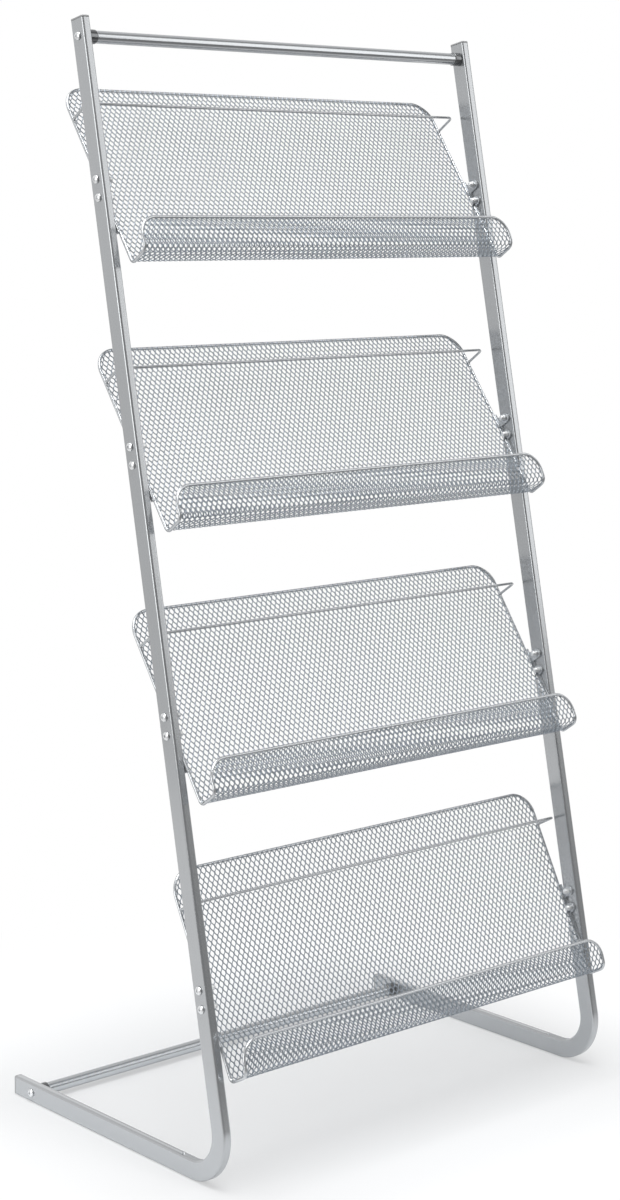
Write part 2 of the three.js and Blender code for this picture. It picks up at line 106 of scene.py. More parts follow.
class Value:
    """A number socket of a node tree that can be used in arithmetic."""

    def __init__(self, tree: Tree, socket: bpy.types.NodeSocket) -> None:
        """Wraps one output socket of a tree."""
        self.tree = tree
        self.socket = socket

    def __add__(self, other: Value | float) -> Value:
        """Adds a value or a number."""
        return self.tree.math("ADD", self, other)

    def __radd__(self, other: float) -> Value:
        """Adds this value to a number."""
        return self.tree.math("ADD", other, self)

    def __sub__(self, other: Value | float) -> Value:
        """Takes away a value or a number."""
        return self.tree.math("SUBTRACT", self, other)

    def __rsub__(self, other: float) -> Value:
        """Takes this value away from a number."""
        return self.tree.math("SUBTRACT", other, self)

    def __mul__(self, other: Value | float) -> Value:
        """Multiplies by a value or a number."""
        return self.tree.math("MULTIPLY", self, other)

    def __rmul__(self, other: float) -> Value:
        """Multiplies a number by this value."""
        return self.tree.math("MULTIPLY", other, self)

    def __truediv__(self, other: Value | float) -> Value:
        """Divides by a value or a number."""
        return self.tree.math("DIVIDE", self, other)

    def __rtruediv__(self, other: float) -> Value:
        """Divides a number by this value."""
        return self.tree.math("DIVIDE", other, self)

    def __abs__(self) -> Value:
        """The value without its sign."""
        return self.tree.math("ABSOLUTE", self)


class Tree:
    """A node tree that is written as calls and expressions."""

    def __init__(self, nodes: bpy.types.NodeTree) -> None:
        """Wraps a node tree of any kind."""
        self.nodes = nodes

    def node(
        self,
        kind: str,
        settings: dict[str, object] | None = None,
        inputs: dict[str | int, object] | None = None,
    ) -> bpy.types.Node:
        """Adds one node.

        Args:
            kind: The node's type.
            settings: Its properties, which are set first.
            inputs: A value, socket or expression for each input, by the input's name or number.

        Returns:
            The new node.
        """
        made = self.nodes.nodes.new(kind)
        for name, setting in (settings or {}).items():
            setattr(made, name, setting)
        for key, source in (inputs or {}).items():
            self.feed(made.inputs[key], source)
        return made

    def feed(self, socket: bpy.types.NodeSocket, source: object) -> None:
        """Links a source to an input socket, or sets the input's own value.

        Args:
            socket: The input.
            source: A socket or expression to link, or a plain value to set.
        """
        if isinstance(source, Value):
            source = source.socket
        if isinstance(source, bpy.types.NodeSocket):
            self.nodes.links.new(source, socket)
        else:
            socket.default_value = source

    def math(self, operation: str, *terms: Value | float) -> Value:
        """Adds a Math node.

        Args:
            operation: The node's operation.
            terms: Its inputs in order.

        Returns:
            The result, for further arithmetic.
        """
        made = self.node("ShaderNodeMath", {"operation": operation}, dict(enumerate(terms)))
        return Value(self, made.outputs[0])

    def hypotenuse(self, first: Value, second: Value) -> Value:
        """The straight distance over two lengths at right angles."""
        return self.math("SQRT", first * first + second * second)


class GeometryTree(Tree):
    """A Geometry Nodes tree with named inputs, which turns a base object into a plain mesh."""

    def __init__(self, name: str) -> None:
        """Starts a tree with one geometry input.

        Args:
            name: The tree's name.
        """
        super().__init__(bpy.data.node_groups.new(name, "GeometryNodeTree"))
        for direction in ("INPUT", "OUTPUT"):
            self.nodes.interface.new_socket("Geometry", in_out=direction, socket_type="NodeSocketGeometry")
        self.entry = self.node("NodeGroupInput")

    @property
    def geometry(self) -> bpy.types.NodeSocket:
        """The base object's own geometry."""
        return self.entry.outputs["Geometry"]

    def named(self, name: str, kind: InputKind) -> bpy.types.NodeSocket:
        """Adds a named input.

        Args:
            name: The input's name.
            kind: What it takes.

        Returns:
            The input's socket inside the tree.
        """
        self.nodes.interface.new_socket(name, in_out="INPUT", socket_type=kind.value)
        return self.entry.outputs[name]

    def number(self, name: str) -> Value:
        """Adds a named number that can be used in arithmetic."""
        return Value(self, self.named(name, InputKind.NUMBER))

    def position(self) -> tuple[Value, Value, Value]:
        """The three coordinates of each point of whatever reads them.

        Returns:
            X, Y and Z.
        """
        place = self.node("GeometryNodeInputPosition").outputs[0]
        split = self.node("ShaderNodeSeparateXYZ", inputs={0: place})
        return tuple(Value(self, output) for output in split.outputs)

    def attribute(self, name: str) -> Value:
        """A number that the base object's mesh carries at each point."""
        found = self.node("GeometryNodeInputNamedAttribute", {"data_type": "FLOAT"}, {"Name": name})
        return Value(self, found.outputs[0])

    def vector(self, x: Value | float, y: Value | float, z: Value | float) -> bpy.types.NodeSocket:
        """Joins three coordinates into a vector."""
        return self.node("ShaderNodeCombineXYZ", inputs={0: x, 1: y, 2: z}).outputs[0]

    def finish(self, geometry: bpy.types.NodeSocket) -> None:
        """Ends the tree: real meshes only, with the material that the "Material" input names.

        Args:
            geometry: What the tree has made.
        """
        material = self.named("Material", InputKind.MATERIAL)
        real = self.node("GeometryNodeRealizeInstances", inputs={0: geometry})
        dressed = self.node("GeometryNodeSetMaterial", inputs={0: real.outputs[0], "Material": material})
        self.node("NodeGroupOutput", inputs={0: dressed.outputs[0]})

    def bake(self, base: bpy.types.Object, values: dict[str, object]) -> bpy.types.Mesh:
        """Runs the tree on a base object and removes that object.

        Args:
            base: The object whose geometry the tree starts from.
            values: A value for each named input.

        Returns:
            The result as a plain mesh.
        """
        modifier = base.modifiers.new(self.nodes.name, "NODES")
        modifier.node_group = self.nodes
        for item in self.nodes.interface.items_tree:
            if item.in_out == "INPUT" and item.name in values:
                modifier[item.identifier] = values[item.name]
        mesh = plain_mesh(base)
        bpy.data.objects.remove(base)
        return mesh


class MaterialTree(Tree):
    """A procedural material on Object coordinates.

    Attributes:
        MIX_COLOURS: Numbers of a Mix node's two colour inputs.
        MIX_RESULT: Number of its mixed colour's output.
    """

    MIX_COLOURS = (6, 7)
    MIX_RESULT = 2

    def __init__(self, name: str) -> None:
        """Starts an empty material.

        Args:
            name: The material's name.
        """
        self.material = bpy.data.materials.new(name)
        self.material.use_nodes = True
        super().__init__(self.material.node_tree)
        self.nodes.nodes.clear()
        self.place = self.node("ShaderNodeTexCoord").outputs["Object"]

    def noise(self, scale: float, detail: float) -> Value:
        """Adds noise over the surface.

        Args:
            scale: Cells in a metre.
            detail: Finer layers.

        Returns:
            The noise, about 0.5.
        """
        inputs = {"Vector": self.place, "Scale": scale, "Detail": detail}
        return Value(self, self.node("ShaderNodeTexNoise", inputs=inputs).outputs[0])

    def between(self, share: Value, first: Colour, second: Colour) -> bpy.types.NodeSocket:
        """Mixes two colours.

        Args:
            share: The share of the second colour.
            first: The colour at 0.
            second: The colour at 1.

        Returns:
            The mixed colour's socket.
        """
        colours = [(*first, 1.0), (*second, 1.0)]
        inputs = {0: share, **dict(zip(self.MIX_COLOURS, colours))}
        return self.node("ShaderNodeMix", {"data_type": "RGBA"}, inputs).outputs[self.MIX_RESULT]

    def bump(self, height: Value, strength: float, distance: float) -> bpy.types.NodeSocket:
        """Turns a height into a normal.

        Args:
            height: The height over the surface.
            strength: How much of it shows.
            distance: The height of 1, in metres.

        Returns:
            The normal's socket.
        """
        inputs = {"Strength": strength, "Distance": distance, "Height": height}
        return self.node("ShaderNodeBump", inputs=inputs).outputs[0]

    def surface(self, inputs: dict[str, object]) -> bpy.types.Material:
        """Ends the material in one surface shader.

        Args:
            inputs: The shader's inputs by name.

        Returns:
            The finished material.
        """
        shader = self.node("ShaderNodeBsdfPrincipled", inputs=inputs)
        self.node("ShaderNodeOutputMaterial", inputs={"Surface": shader.outputs[0]})
        return self.material


@dataclass(frozen=True)
class SilverPaint:
    """Satin silver coating: fine metal flake in a clear film with a slight orange peel.

    Attributes:
        name: The material's name.
        shade: The flake's darker tint.
        light: The flake's lighter tint.
        metallic: How much the flake shines as metal.
        roughness: Of the film, on average.
        peel: Height of the orange peel.
        flake_scale: Flakes in a metre.
        cloud_scale: Lighter and darker patches in a metre.
        peel_scale: Waves of the orange peel in a metre.
        flake_share: How much of the tint's change is the flake's.
        swing: How much the roughness changes with the flake, and with the patches.
        coat: Weight of the clear film.
        coat_roughness: Of the clear film alone.
        peel_strength: How much of the orange peel shows.
    """

    name: str
    shade: Colour
    light: Colour
    metallic: float
    roughness: float
    peel: float = 0.008 * MM
    flake_scale: float = 2600.0
    cloud_scale: float = 16.0
    peel_scale: float = 520.0
    flake_share: float = 0.8
    swing: float = 0.04
    coat: float = 0.12
    coat_roughness: float = 0.22
    peel_strength: float = 0.12

    def material(self) -> bpy.types.Material:
        """Makes the paint.

        Returns:
            The paint's material.
        """
        tree = MaterialTree(self.name)
        flake = tree.noise(self.flake_scale, detail=1.0)
        cloud = tree.noise(self.cloud_scale, detail=3.0)
        grain = flake * self.flake_share + cloud * (1.0 - self.flake_share)
        peel = tree.noise(self.peel_scale, detail=2.0)
        return tree.surface(
            {
                "Base Color": tree.between(grain, self.shade, self.light),
                "Metallic": self.metallic,
                "Roughness": self.roughness - self.swing + cloud * self.swing + flake * self.swing,
                "Coat Weight": self.coat,
                "Coat Roughness": self.coat_roughness,
                "Normal": tree.bump(peel, self.peel_strength, self.peel),
            }
        )


@dataclass(frozen=True)
class ZincPlate:
    """Bright zinc on steel, with a faint cloudiness and polishing marks.

    Attributes:
        name: The material's name.
        shade: The duller tint.
        light: The brighter tint.
        roughness: On average.
        cloud_scale: Cloudy patches in a metre.
        mark_scale: Polishing marks in a metre.
        swing: How much the roughness changes with the patches.
        mark_strength: How much of the marks shows.
        mark_height: Height of the marks.
    """

    name: str
    shade: Colour
    light: Colour
    roughness: float
    cloud_scale: float = 380.0
    mark_scale: float = 2400.0
    swing: float = 0.1
    mark_strength: float = 0.2
    mark_height: float = 0.02 * MM

    def material(self) -> bpy.types.Material:
        """Makes the plating.

        Returns:
            The plating's material.
        """
        tree = MaterialTree(self.name)
        cloud = tree.noise(self.cloud_scale, detail=3.0)
        marks = tree.noise(self.mark_scale, detail=2.0)
        return tree.surface(
            {
                "Base Color": tree.between(cloud, self.shade, self.light),
                "Metallic": 1.0,
                "Roughness": self.roughness - self.swing / 2 + cloud * self.swing,
                "Normal": tree.bump(marks, self.mark_strength, self.mark_height),
            }
        )


@dataclass(frozen=True)
class MouldedPlastic:
    """Moulded plastic with a fine grain.

    Attributes:
        name: The material's name.
        shade: The darker tint.
        light: The lighter tint.
        metallic: How much of a metal pigment's shine it has.
        roughness: On average.
        grain: Height of the grain.
        cloud_scale: Lighter and darker patches in a metre.
        grain_scale: Grains in a metre.
        swing: How much the roughness changes with the grain.
        grain_strength: How much of the grain shows.
    """

    name: str
    shade: Colour
    light: Colour
    metallic: float
    roughness: float
    grain: float
    cloud_scale: float = 120.0
    grain_scale: float = 1800.0
    swing: float = 0.08
    grain_strength: float = 0.3

    def material(self) -> bpy.types.Material:
        """Makes the plastic.

        Returns:
            The plastic's material.
        """
        tree = MaterialTree(self.name)
        cloud = tree.noise(self.cloud_scale, detail=3.0)
        grain = tree.noise(self.grain_scale, detail=2.0)
        return tree.surface(
            {
                "Base Color": tree.between(cloud, self.shade, self.light),
                "Metallic": self.metallic,
                "Roughness": self.roughness - self.swing / 2 + grain * self.swing,
                "Normal": tree.bump(grain, self.grain_strength, self.grain),
            }
        )


class Palette:
    """The rack's finishes, each made once."""

    def __init__(self) -> None:
        """Makes every material."""
        self.frame = SilverPaint(
            "frame_silver", (0.434, 0.446, 0.457), (0.536, 0.551, 0.565), metallic=0.78, roughness=0.2
        ).material()
        self.bar = SilverPaint(
            "bar_silver", (0.52, 0.535, 0.55), (0.62, 0.64, 0.66), metallic=0.85, roughness=0.17
        ).material()
        # The tray's one paint is made in three tints. The rim's is lighter: painted light for the light on
        # its tab ears. The sheet's is much darker: painted shade for the shade among its strands. The bail
        # wire's lies between.
        self.rim = SilverPaint(
            "rim_silver", (0.54, 0.556, 0.572), (0.645, 0.665, 0.685), metallic=0.8, roughness=0.22
        ).material()
        self.wire = SilverPaint(
            "wire_silver", (0.46, 0.475, 0.49), (0.56, 0.577, 0.594), metallic=0.8, roughness=0.2
        ).material()
        self.sheet = SilverPaint(
            "sheet_silver", (0.255, 0.285, 0.324), (0.357, 0.397, 0.441), metallic=0.9, roughness=0.3
        ).material()
        self.ferrule = MouldedPlastic(
            "ferrule_grey",
            (0.17, 0.175, 0.18),
            (0.22, 0.225, 0.23),
            metallic=0.85,
            roughness=0.15,
            grain=0.003 * MM,
        ).material()
        self.plug = MouldedPlastic(
            "plug_grey",
            (0.29, 0.295, 0.3),
            (0.35, 0.355, 0.36),
            metallic=0.0,
            roughness=0.46,
            grain=0.03 * MM,
        ).material()
        self.zinc = ZincPlate(
            "bright_zinc_plate", (0.76, 0.77, 0.78), (0.9, 0.91, 0.92), roughness=0.32
        ).material()


class Skin:
    """The points and faces of a mesh in the making."""

    def __init__(self) -> None:
        """Starts with nothing."""
        self.points: Ring = []
        self.faces: list[list[int]] = []

    def ring(self, points: Iterable[Vector]) -> list[int]:
        """Adds a ring of points.

        Args:
            points: The points in order.

        Returns:
            Their numbers.
        """
        first = len(self.points)
        self.points.extend(points)
        return list(range(first, len(self.points)))

    def bridge(self, near: Sequence[int], far: Sequence[int]) -> None:
        """Joins two closed rings with a band of faces.

        Args:
            near: One ring's numbers.
            far: The other ring's numbers, as many.
        """
        count = len(near)
        for side in range(count):
            beside = (side + 1) % count
            self.faces.append([near[side], near[beside], far[beside], far[side]])

    def loft(self, rings: Sequence[Ring], hollow: bool = False) -> None:
        """Joins rings in order.

        Args:
            rings: Rings with equal counts.
            hollow: Whether the last ring joins the first, in place of two end faces.
        """
        numbers = [self.ring(points) for points in rings]
        for near, far in zip(numbers, numbers[1:]):
            self.bridge(near, far)
        if hollow:
            self.bridge(numbers[-1], numbers[0])
        else:
            self.faces.append(list(reversed(numbers[0])))
            self.faces.append(list(numbers[-1]))

    def mesh(self, name: str, crease: float = CREASE) -> bpy.types.Mesh:
        """Makes the mesh, with its faces outwards.

        Args:
            name: The mesh's name.
            crease: The angle from which an edge stays sharp.

        Returns:
            The new mesh.
        """
        made = bpy.data.meshes.new(name)
        made.from_pydata([tuple(point) for point in self.points], [], self.faces)
        shell = bmesh.new()
        shell.from_mesh(made)
        bmesh.ops.recalc_face_normals(shell, faces=shell.faces)
        shell.to_mesh(made)
        shell.free()
        smooth(made, crease)
        return made


def smooth(mesh: bpy.types.Mesh, crease: float) -> None:
    """Shades a mesh smooth, except at its sharp edges.

    Args:
        mesh: The mesh to shade.
        crease: The angle from which an edge stays sharp.
    """
    mesh.polygons.foreach_set("use_smooth", np.ones(len(mesh.polygons), bool))
    mesh.set_sharp_from_angle(angle=crease)


def plain_mesh(source: bpy.types.Object) -> bpy.types.Mesh:
    """Gives an object's evaluated mesh as a mesh of its own."""
    graph = bpy.context.evaluated_depsgraph_get()
    return bpy.data.meshes.new_from_object(source.evaluated_get(graph), depsgraph=graph)


def in_scene(name: str, data: bpy.types.ID) -> bpy.types.Object:
    """Puts data in the scene as an object.

    Args:
        name: The object's name.
        data: Its mesh, curve, light or camera.

    Returns:
        The new object.
    """
    made = bpy.data.objects.new(name, data)
    bpy.context.collection.objects.link(made)
    return made


def polyline(name: str, points: Sequence[Sequence[float]], closed: bool = False) -> bpy.types.Object:
    """Puts a curve of straight runs in the scene.

    Args:
        name: The curve's name.
        points: Its points in order.
        closed: Whether it ends where it starts.

    Returns:
        The curve's object.
    """
    curve = bpy.data.curves.new(name, "CURVE")
    curve.dimensions = "3D"
    spline = curve.splines.new("POLY")
    spline.points.add(len(points) - 1)
    for target, point in zip(spline.points, points, strict=True):
        target.co = (*point, 1.0)
    spline.use_cyclic_u = closed
    return in_scene(name, curve)


def joined(name: str, meshes: Sequence[bpy.types.Mesh], crease: float = CREASE) -> bpy.types.Mesh:
    """Puts several meshes into one.

    Args:
        name: The new mesh's name.
        meshes: The meshes, which are removed.
        crease: The angle from which an edge stays sharp.

    Returns:
        The new mesh.
    """
    shell = bmesh.new()
    for part in meshes:
        shell.from_mesh(part)
        bpy.data.meshes.remove(part)
    made = bpy.data.meshes.new(name)
    shell.to_mesh(made)
    shell.free()
    smooth(made, crease)
    return made


def arc(centre: Vector, radius: float, start: float, end: float, steps: int) -> Ring:
    """Points along an arc in the XY plane, both ends included.

    Args:
        centre: The arc's centre.
        radius: Its radius.
        start: The first angle.
        end: The last angle.
        steps: The number of steps between them.

    Returns:
        The points.
    """
    angles = [start + (end - start) * step / steps for step in range(steps + 1)]
    return [centre + Vector((math.cos(angle), math.sin(angle), 0.0)) * radius for angle in angles]


def rounded_outline(width: float, depth: float, radius: float, corner: int = 5, straight: int = 8) -> Ring:
    """A rounded rectangle in the XY plane with points along its straight sides too.

    Args:
        width: Its size along X.
        depth: Its size along Y.
        radius: The corners' radius.
        corner: Steps round each corner.
        straight: Steps along each side.

    Returns:
        The closed outline, anticlockwise.
    """
    outline: Ring = []
    signs = ((1, 1), (-1, 1), (-1, -1), (1, -1))
    for turn, (across, along) in enumerate(signs):
        centre = Vector((across * (width / 2 - radius), along * (depth / 2 - radius), 0.0))
        outline += arc(centre, radius, turn * math.pi / 2, (turn + 1) * math.pi / 2, corner)
        following = signs[(turn + 1) % len(signs)]
        target = Vector((following[0] * (width / 2 - radius), following[1] * (depth / 2 - radius), 0.0))
        offset = outline[-1] - centre
        outline += [centre.lerp(target, step / straight) + offset for step in range(1, straight)]
    return outline


def revolved(profile: Sequence[tuple[float, float]], sides: int, hollow: bool = False) -> Skin:
    """A solid of revolution about X.

    Args:
        profile: Pairs of radius and X, from end to end.
        sides: Steps round the axis.
        hollow: Whether the profile's end joins its start, as a tube's does.

    Returns:
        The closed skin.
    """
    angles = [2 * math.pi * side / sides for side in range(sides)]
    skin = Skin()
    rings = [[Vector((x, r * math.cos(a), r * math.sin(a))) for a in angles] for r, x in profile]
    skin.loft(rings, hollow)
    return skin


def add_piece(
    name: str, mesh: bpy.types.Mesh, material: bpy.types.Material, nodes: Sequence[str]
) -> None:
    """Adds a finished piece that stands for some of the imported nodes.

    Args:
        name: The piece's name.
        mesh: Its mesh, in place.
        material: Its finish.
        nodes: The nodes it stands for.
    """
    mesh.name = name
    mesh.materials.clear()
    mesh.materials.append(material)
    piece = in_scene(name, mesh)
    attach(piece, BODY)
    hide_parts(*nodes)
    LOG.info("%s: %d faces for %s", name, len(mesh.polygons), ", ".join(nodes))


@dataclass(frozen=True)
class Layout:
    """The sizes and places that the sub-assemblies share."""

    bend_y: float
    overall_width: float = 665 * MM
    rail_depth: float = 25 * MM
    rail_width: float = 12 * MM
    lean: float = math.radians(11.3)
    bend_inner_radius: float = 40 * MM
    leg_length: float = 377 * MM
    first_tier_rise: float = 146.5 * MM
    tier_pitch: float = 330 * MM
    top_bar_rise: float = 201 * MM
    top_margin: float = 21 * MM
    base_bar_inset: float = 37 * MM
    screw_pitch: float = 22.7 * MM
    tab_thickness: float = 2.5 * MM
    rim_wire: float = 4 * MM
    weld_sink: float = 0.5 * MM
    seat_gap: float = 0.3 * MM
    panel_leans: tuple[float, ...] = tuple(math.radians(lean) for lean in (27.5, 34.5, 35.5, 34.5))

    @property
    def rail_middle(self) -> float:
        """Distance of a rail's middle from the rack's middle plane."""
        return (self.overall_width - self.rail_width) / 2

    @property
    def rail_inner_face(self) -> float:
        """Distance of a rail's inner face from the rack's middle plane."""
        return self.overall_width / 2 - self.rail_width

    @property
    def tab_inner_face(self) -> float:
        """Distance of a tab's inner face from the rack's middle plane."""
        return self.rail_inner_face - self.seat_gap - self.tab_thickness

    @property
    def rim_half_width(self) -> float:
        """Distance of the rim wire's side runs from the rack's middle plane."""
        return self.tab_inner_face + self.weld_sink - self.rim_wire / 2

    @property
    def bend_radius(self) -> float:
        """Radius of the rail's bend along its middle line."""
        return self.bend_inner_radius + self.rail_depth / 2

    @property
    def bend_angle(self) -> float:
        """The angle that the rail's bend turns through."""
        return math.pi / 2 + self.lean

    @property
    def upright(self) -> Vector:
        """Direction of the uprights."""
        return Vector((0.0, math.sin(self.lean), math.cos(self.lean)))

    @property
    def upright_length(self) -> float:
        """Length of the uprights from the end of the bend."""
        tiers = (len(self.panel_leans) - 1) * self.tier_pitch
        return self.first_tier_rise + tiers + self.top_bar_rise + self.top_margin

    def on_bend(self, angle: float) -> Vector:
        """A point of the bend's middle line, from the leg's end of the bend."""
        centre = Vector((0.0, self.bend_y, self.rail_depth / 2 + self.bend_radius))
        return centre - Vector((0.0, math.sin(angle), math.cos(angle))) * self.bend_radius

    def on_upright(self, rise: float) -> Vector:
        """A point of the upright's middle line, at a height along it."""
        return self.on_bend(self.bend_angle) + self.upright * rise

    def on_leg(self, back: float) -> Vector:
        """A point of the leg's middle line, at a distance behind the bend."""
        return Vector((0.0, self.bend_y + back, self.rail_depth / 2))

    @property
    def bar_places(self) -> dict[str, Vector]:
        """The crossbars' axes."""
        return {
            "top": self.on_upright(self.upright_length - self.top_margin),
            "base": self.on_leg(self.leg_length - self.base_bar_inset),
        }

    def tray_place(self, tier: int) -> Matrix:
        """The frame of a tray: its origin on the lower screw's axis, its Z up the panel."""
        origin = self.on_upright(self.first_tier_rise + tier * self.tier_pitch)
        return Matrix.Translation(origin) @ Matrix.Rotation(-self.panel_leans[tier], 4, "X")

    def screw_axes(self, tier: int) -> dict[str, Vector]:
        """The axes of a tray's lower and upper screws."""
        lower = self.on_upright(self.first_tier_rise + tier * self.tier_pitch)
        return {"lower": lower, "upper": lower + self.upright * self.screw_pitch}


@dataclass(frozen=True)
class Rails:
    """The two bent rails and the plugs in their ends."""

    layout: Layout
    palette: Palette
    wall: float = 1.2 * MM
    corner: float = 2.5 * MM
    bend_steps: int = 44
    press_depth: float = 3.2 * MM
    press_lead: float = 26 * MM
    press_ramp: float = 2.5 * MM
    press_full_angle: float = math.radians(64)
    press_end_angle: float = math.radians(100)
    press_rim: float = 1.4 * MM
    press_half_share: float = 0.6
    inner_corner: float = 0.6 * MM
    face_margin: float = 0.01 * MM
    crease: float = math.radians(50)
    plug_flange: float = 1.8 * MM
    plug_crown: float = 0.75 * MM
    plug_spigot: float = 14 * MM
    plug_lead: float = 0.2 * MM
    plug_round: float = 2.8 * MM
    plug_corner: float = 0.5 * MM
    plug_steps: int = 4

    def build(self) -> None:
        """Adds both rails and all four plugs."""
        for side in Side:
            place = Matrix.Translation((side.value * self.layout.rail_middle, 0.0, 0.0))
            tube = self.tube()
            tube.transform(place)
            add_piece(f"rail_tube_{side.word}", tube, self.palette.frame, [f"rail_{side.word}"])
            top = Matrix.Translation(self.layout.on_upright(self.layout.upright_length))
            rear = Matrix.Translation(self.layout.on_leg(self.layout.leg_length))
            ends = {
                "rail_top": top @ Matrix.Rotation(-self.layout.lean, 4, "X"),
                "leg_end": rear @ Matrix.Rotation(-math.pi / 2, 4, "X"),
            }
            for end, frame in ends.items():
                plug = self.plug()
                plug.transform(place @ frame)
                node = f"{end}_plug_{side.word}"
                add_piece(f"{end}_cap_{side.word}", plug, self.palette.plug, [node])

    def stations(self) -> list[tuple[Vector, Vector, float]]:
        """The rail's route from the leg's rear end to the top.

        Returns:
            At each station, the middle point, the direction of the route and the depth of the press mark.
        """
        layout = self.layout
        forward = Vector((0.0, -1.0, 0.0))
        ramp_end = self.press_lead - self.press_ramp
        marks = [
            (layout.leg_length, 0.0),
            (self.press_lead, 0.0),
            (self.press_lead - self.press_ramp / 2, self.press_half_share),
            (ramp_end, 1.0),
            (ramp_end / 2, 1.0),
        ]
        route = [(layout.on_leg(lead), forward, share * self.press_depth) for lead, share in marks]
        for step in range(self.bend_steps + 1):
            angle = layout.bend_angle * step / self.bend_steps
            fade = (angle - self.press_full_angle) / (self.press_end_angle - self.press_full_angle)
            share = 1.0 - min(max(fade, 0.0), 1.0)
            direction = Vector((0.0, -math.cos(angle), math.sin(angle)))
            depth = self.press_depth * share * share * (3.0 - 2.0 * share)
            route.append((layout.on_bend(angle), direction, depth))
        route.append((layout.on_upright(layout.upright_length), layout.upright, 0.0))
        return route

    def section(self, inset: float, dent: float) -> Ring:
        """The tube's section, with the press mark in its face on the inside of the bend.

        Args:
            inset: Distance inside the outer skin.
            dent: Depth of the press mark.

        Returns:
            The outline, with Y towards the inside of the bend.
        """
        layout = self.layout
        width, depth = layout.rail_width - 2 * inset, layout.rail_depth - 2 * inset
        outline = rounded_outline(width, depth, max(self.corner - inset, self.inner_corner))
        reach = layout.rail_width / 2 - inset - self.press_rim
        face = layout.rail_depth / 2 - inset - self.face_margin
        for point in outline:
            if point.y > face and abs(point.x) < reach:
                point.y -= dent * math.sqrt(1.0 - (point.x / reach) ** 2)
        return outline

    def tube(self) -> bpy.types.Mesh:
        """Makes one rail's tube, open at both ends, in the middle plane.

        Returns:
            The tube's mesh.
        """
        across = Vector((1.0, 0.0, 0.0))
        skins: dict[float, list[Ring]] = {0.0: [], self.wall: []}
        for point, direction, dent in self.stations():
            inwards = direction.cross(across)
            for inset, rings in skins.items():
                rings.append([point + across * p.x + inwards * p.y for p in self.section(inset, dent)])
        skin = Skin()
        skin.loft(skins[0.0] + skins[self.wall][::-1], hollow=True)
        return skin.mesh("rail_tube", self.crease)

    def plug(self) -> bpy.types.Mesh:
        """Makes one end plug, rising along Z from the tube's end.

        Returns:
            The plug's mesh.
        """
        layout = self.layout
        gap = layout.seat_gap
        loss = 2 * (self.wall + gap)
        levels = [(loss, -self.plug_spigot), (loss, gap), (self.plug_lead, gap), (0.0, 2 * gap)]
        top = gap + self.plug_flange
        for step in range(self.plug_steps + 1):
            angle = math.pi / 2 * step / self.plug_steps
            inset = self.plug_round * (1.0 - math.cos(angle))
            levels.append((inset, top + self.plug_crown * math.sin(angle)))
        skin = Skin()
        rings = []
        for inset, height in levels:
            radius = max(self.corner - inset / 2, self.plug_corner)
            outline = rounded_outline(layout.rail_width - inset, layout.rail_depth - inset, radius)
            rings.append([Vector((p.x, p.y, height)) for p in outline])
        skin.loft(rings)
        return skin.mesh("plug")


@dataclass(frozen=True)
class Crossbars:
    """The two round crossbars and the ferrules at their ends."""

    layout: Layout
    palette: Palette
    diameter: float = 16 * MM
    wall: float = 1.2 * MM
    ferrule_diameter: float = 18 * MM
    ferrule_length: float = 12 * MM
    ferrule_spigot: float = 18 * MM
    ferrule_round: float = 1.2 * MM
    ferrule_edge: float = 0.4 * MM
    ferrule_core: float = 0.4 * MM
    round_steps: int = 5
    sides: int = 48

    def build(self) -> None:
        """Adds both bars and all four ferrules."""
        for level, place in self.layout.bar_places.items():
            bar = self.bar()
            bar.transform(Matrix.Translation(place))
            add_piece(f"{level}_bar", bar, self.palette.bar, [f"{level}_crossbar"])
            for side in Side:
                collar = self.ferrule()
                seat = Vector((side.value * (self.layout.rail_inner_face - self.layout.seat_gap), 0.0, 0.0))
                turn = Matrix.Rotation(0.0 if side is Side.RIGHT else math.pi, 4, "Z")
                collar.transform(Matrix.Translation(place + seat) @ turn)
                node = f"{level}_ferrule_{side.word}"
                add_piece(f"{level}_collar_{side.word}", collar, self.palette.ferrule, [node])

    def bar(self) -> bpy.types.Mesh:
        """Makes one bar's tube along X, with its ends rounded over.

        Returns:
            The bar's mesh.
        """
        half = self.layout.rail_inner_face - self.ferrule_length - 2 * self.layout.seat_gap
        outer = self.diameter / 2
        inner = outer - self.wall
        edge = self.wall / 3
        outside = [(outer - edge, -half), (outer, edge - half), (outer, half - edge), (outer - edge, half)]
        profile = [*outside, (inner, half), (inner, -half)]
        return revolved(profile, self.sides, hollow=True).mesh("bar")

    def ferrule(self) -> bpy.types.Mesh:
        """Makes one ferrule: a collar on the rail with a spigot in the bar.

        Returns:
            The ferrule, with its collar's face at X = 0 and its spigot towards -X.
        """
        collar = self.ferrule_diameter / 2
        spigot = self.diameter / 2 - self.wall - self.layout.seat_gap
        end = -self.ferrule_length
        angles = [math.pi / 2 * step / self.round_steps for step in range(self.round_steps + 1)]
        rounding = [
            (collar - self.ferrule_round * (1 - math.sin(a)), end + self.ferrule_round * (1 - math.cos(a)))
            for a in angles
        ]
        edge, core, tip = self.ferrule_edge, self.ferrule_core, end - self.ferrule_spigot
        front = [(collar, -edge), (collar - edge, 0.0), (core, 0.0)]
        back = [(core, tip), (spigot, tip), (spigot, end)]
        return revolved([*back, *rounding, *front], self.sides).mesh("ferrule")


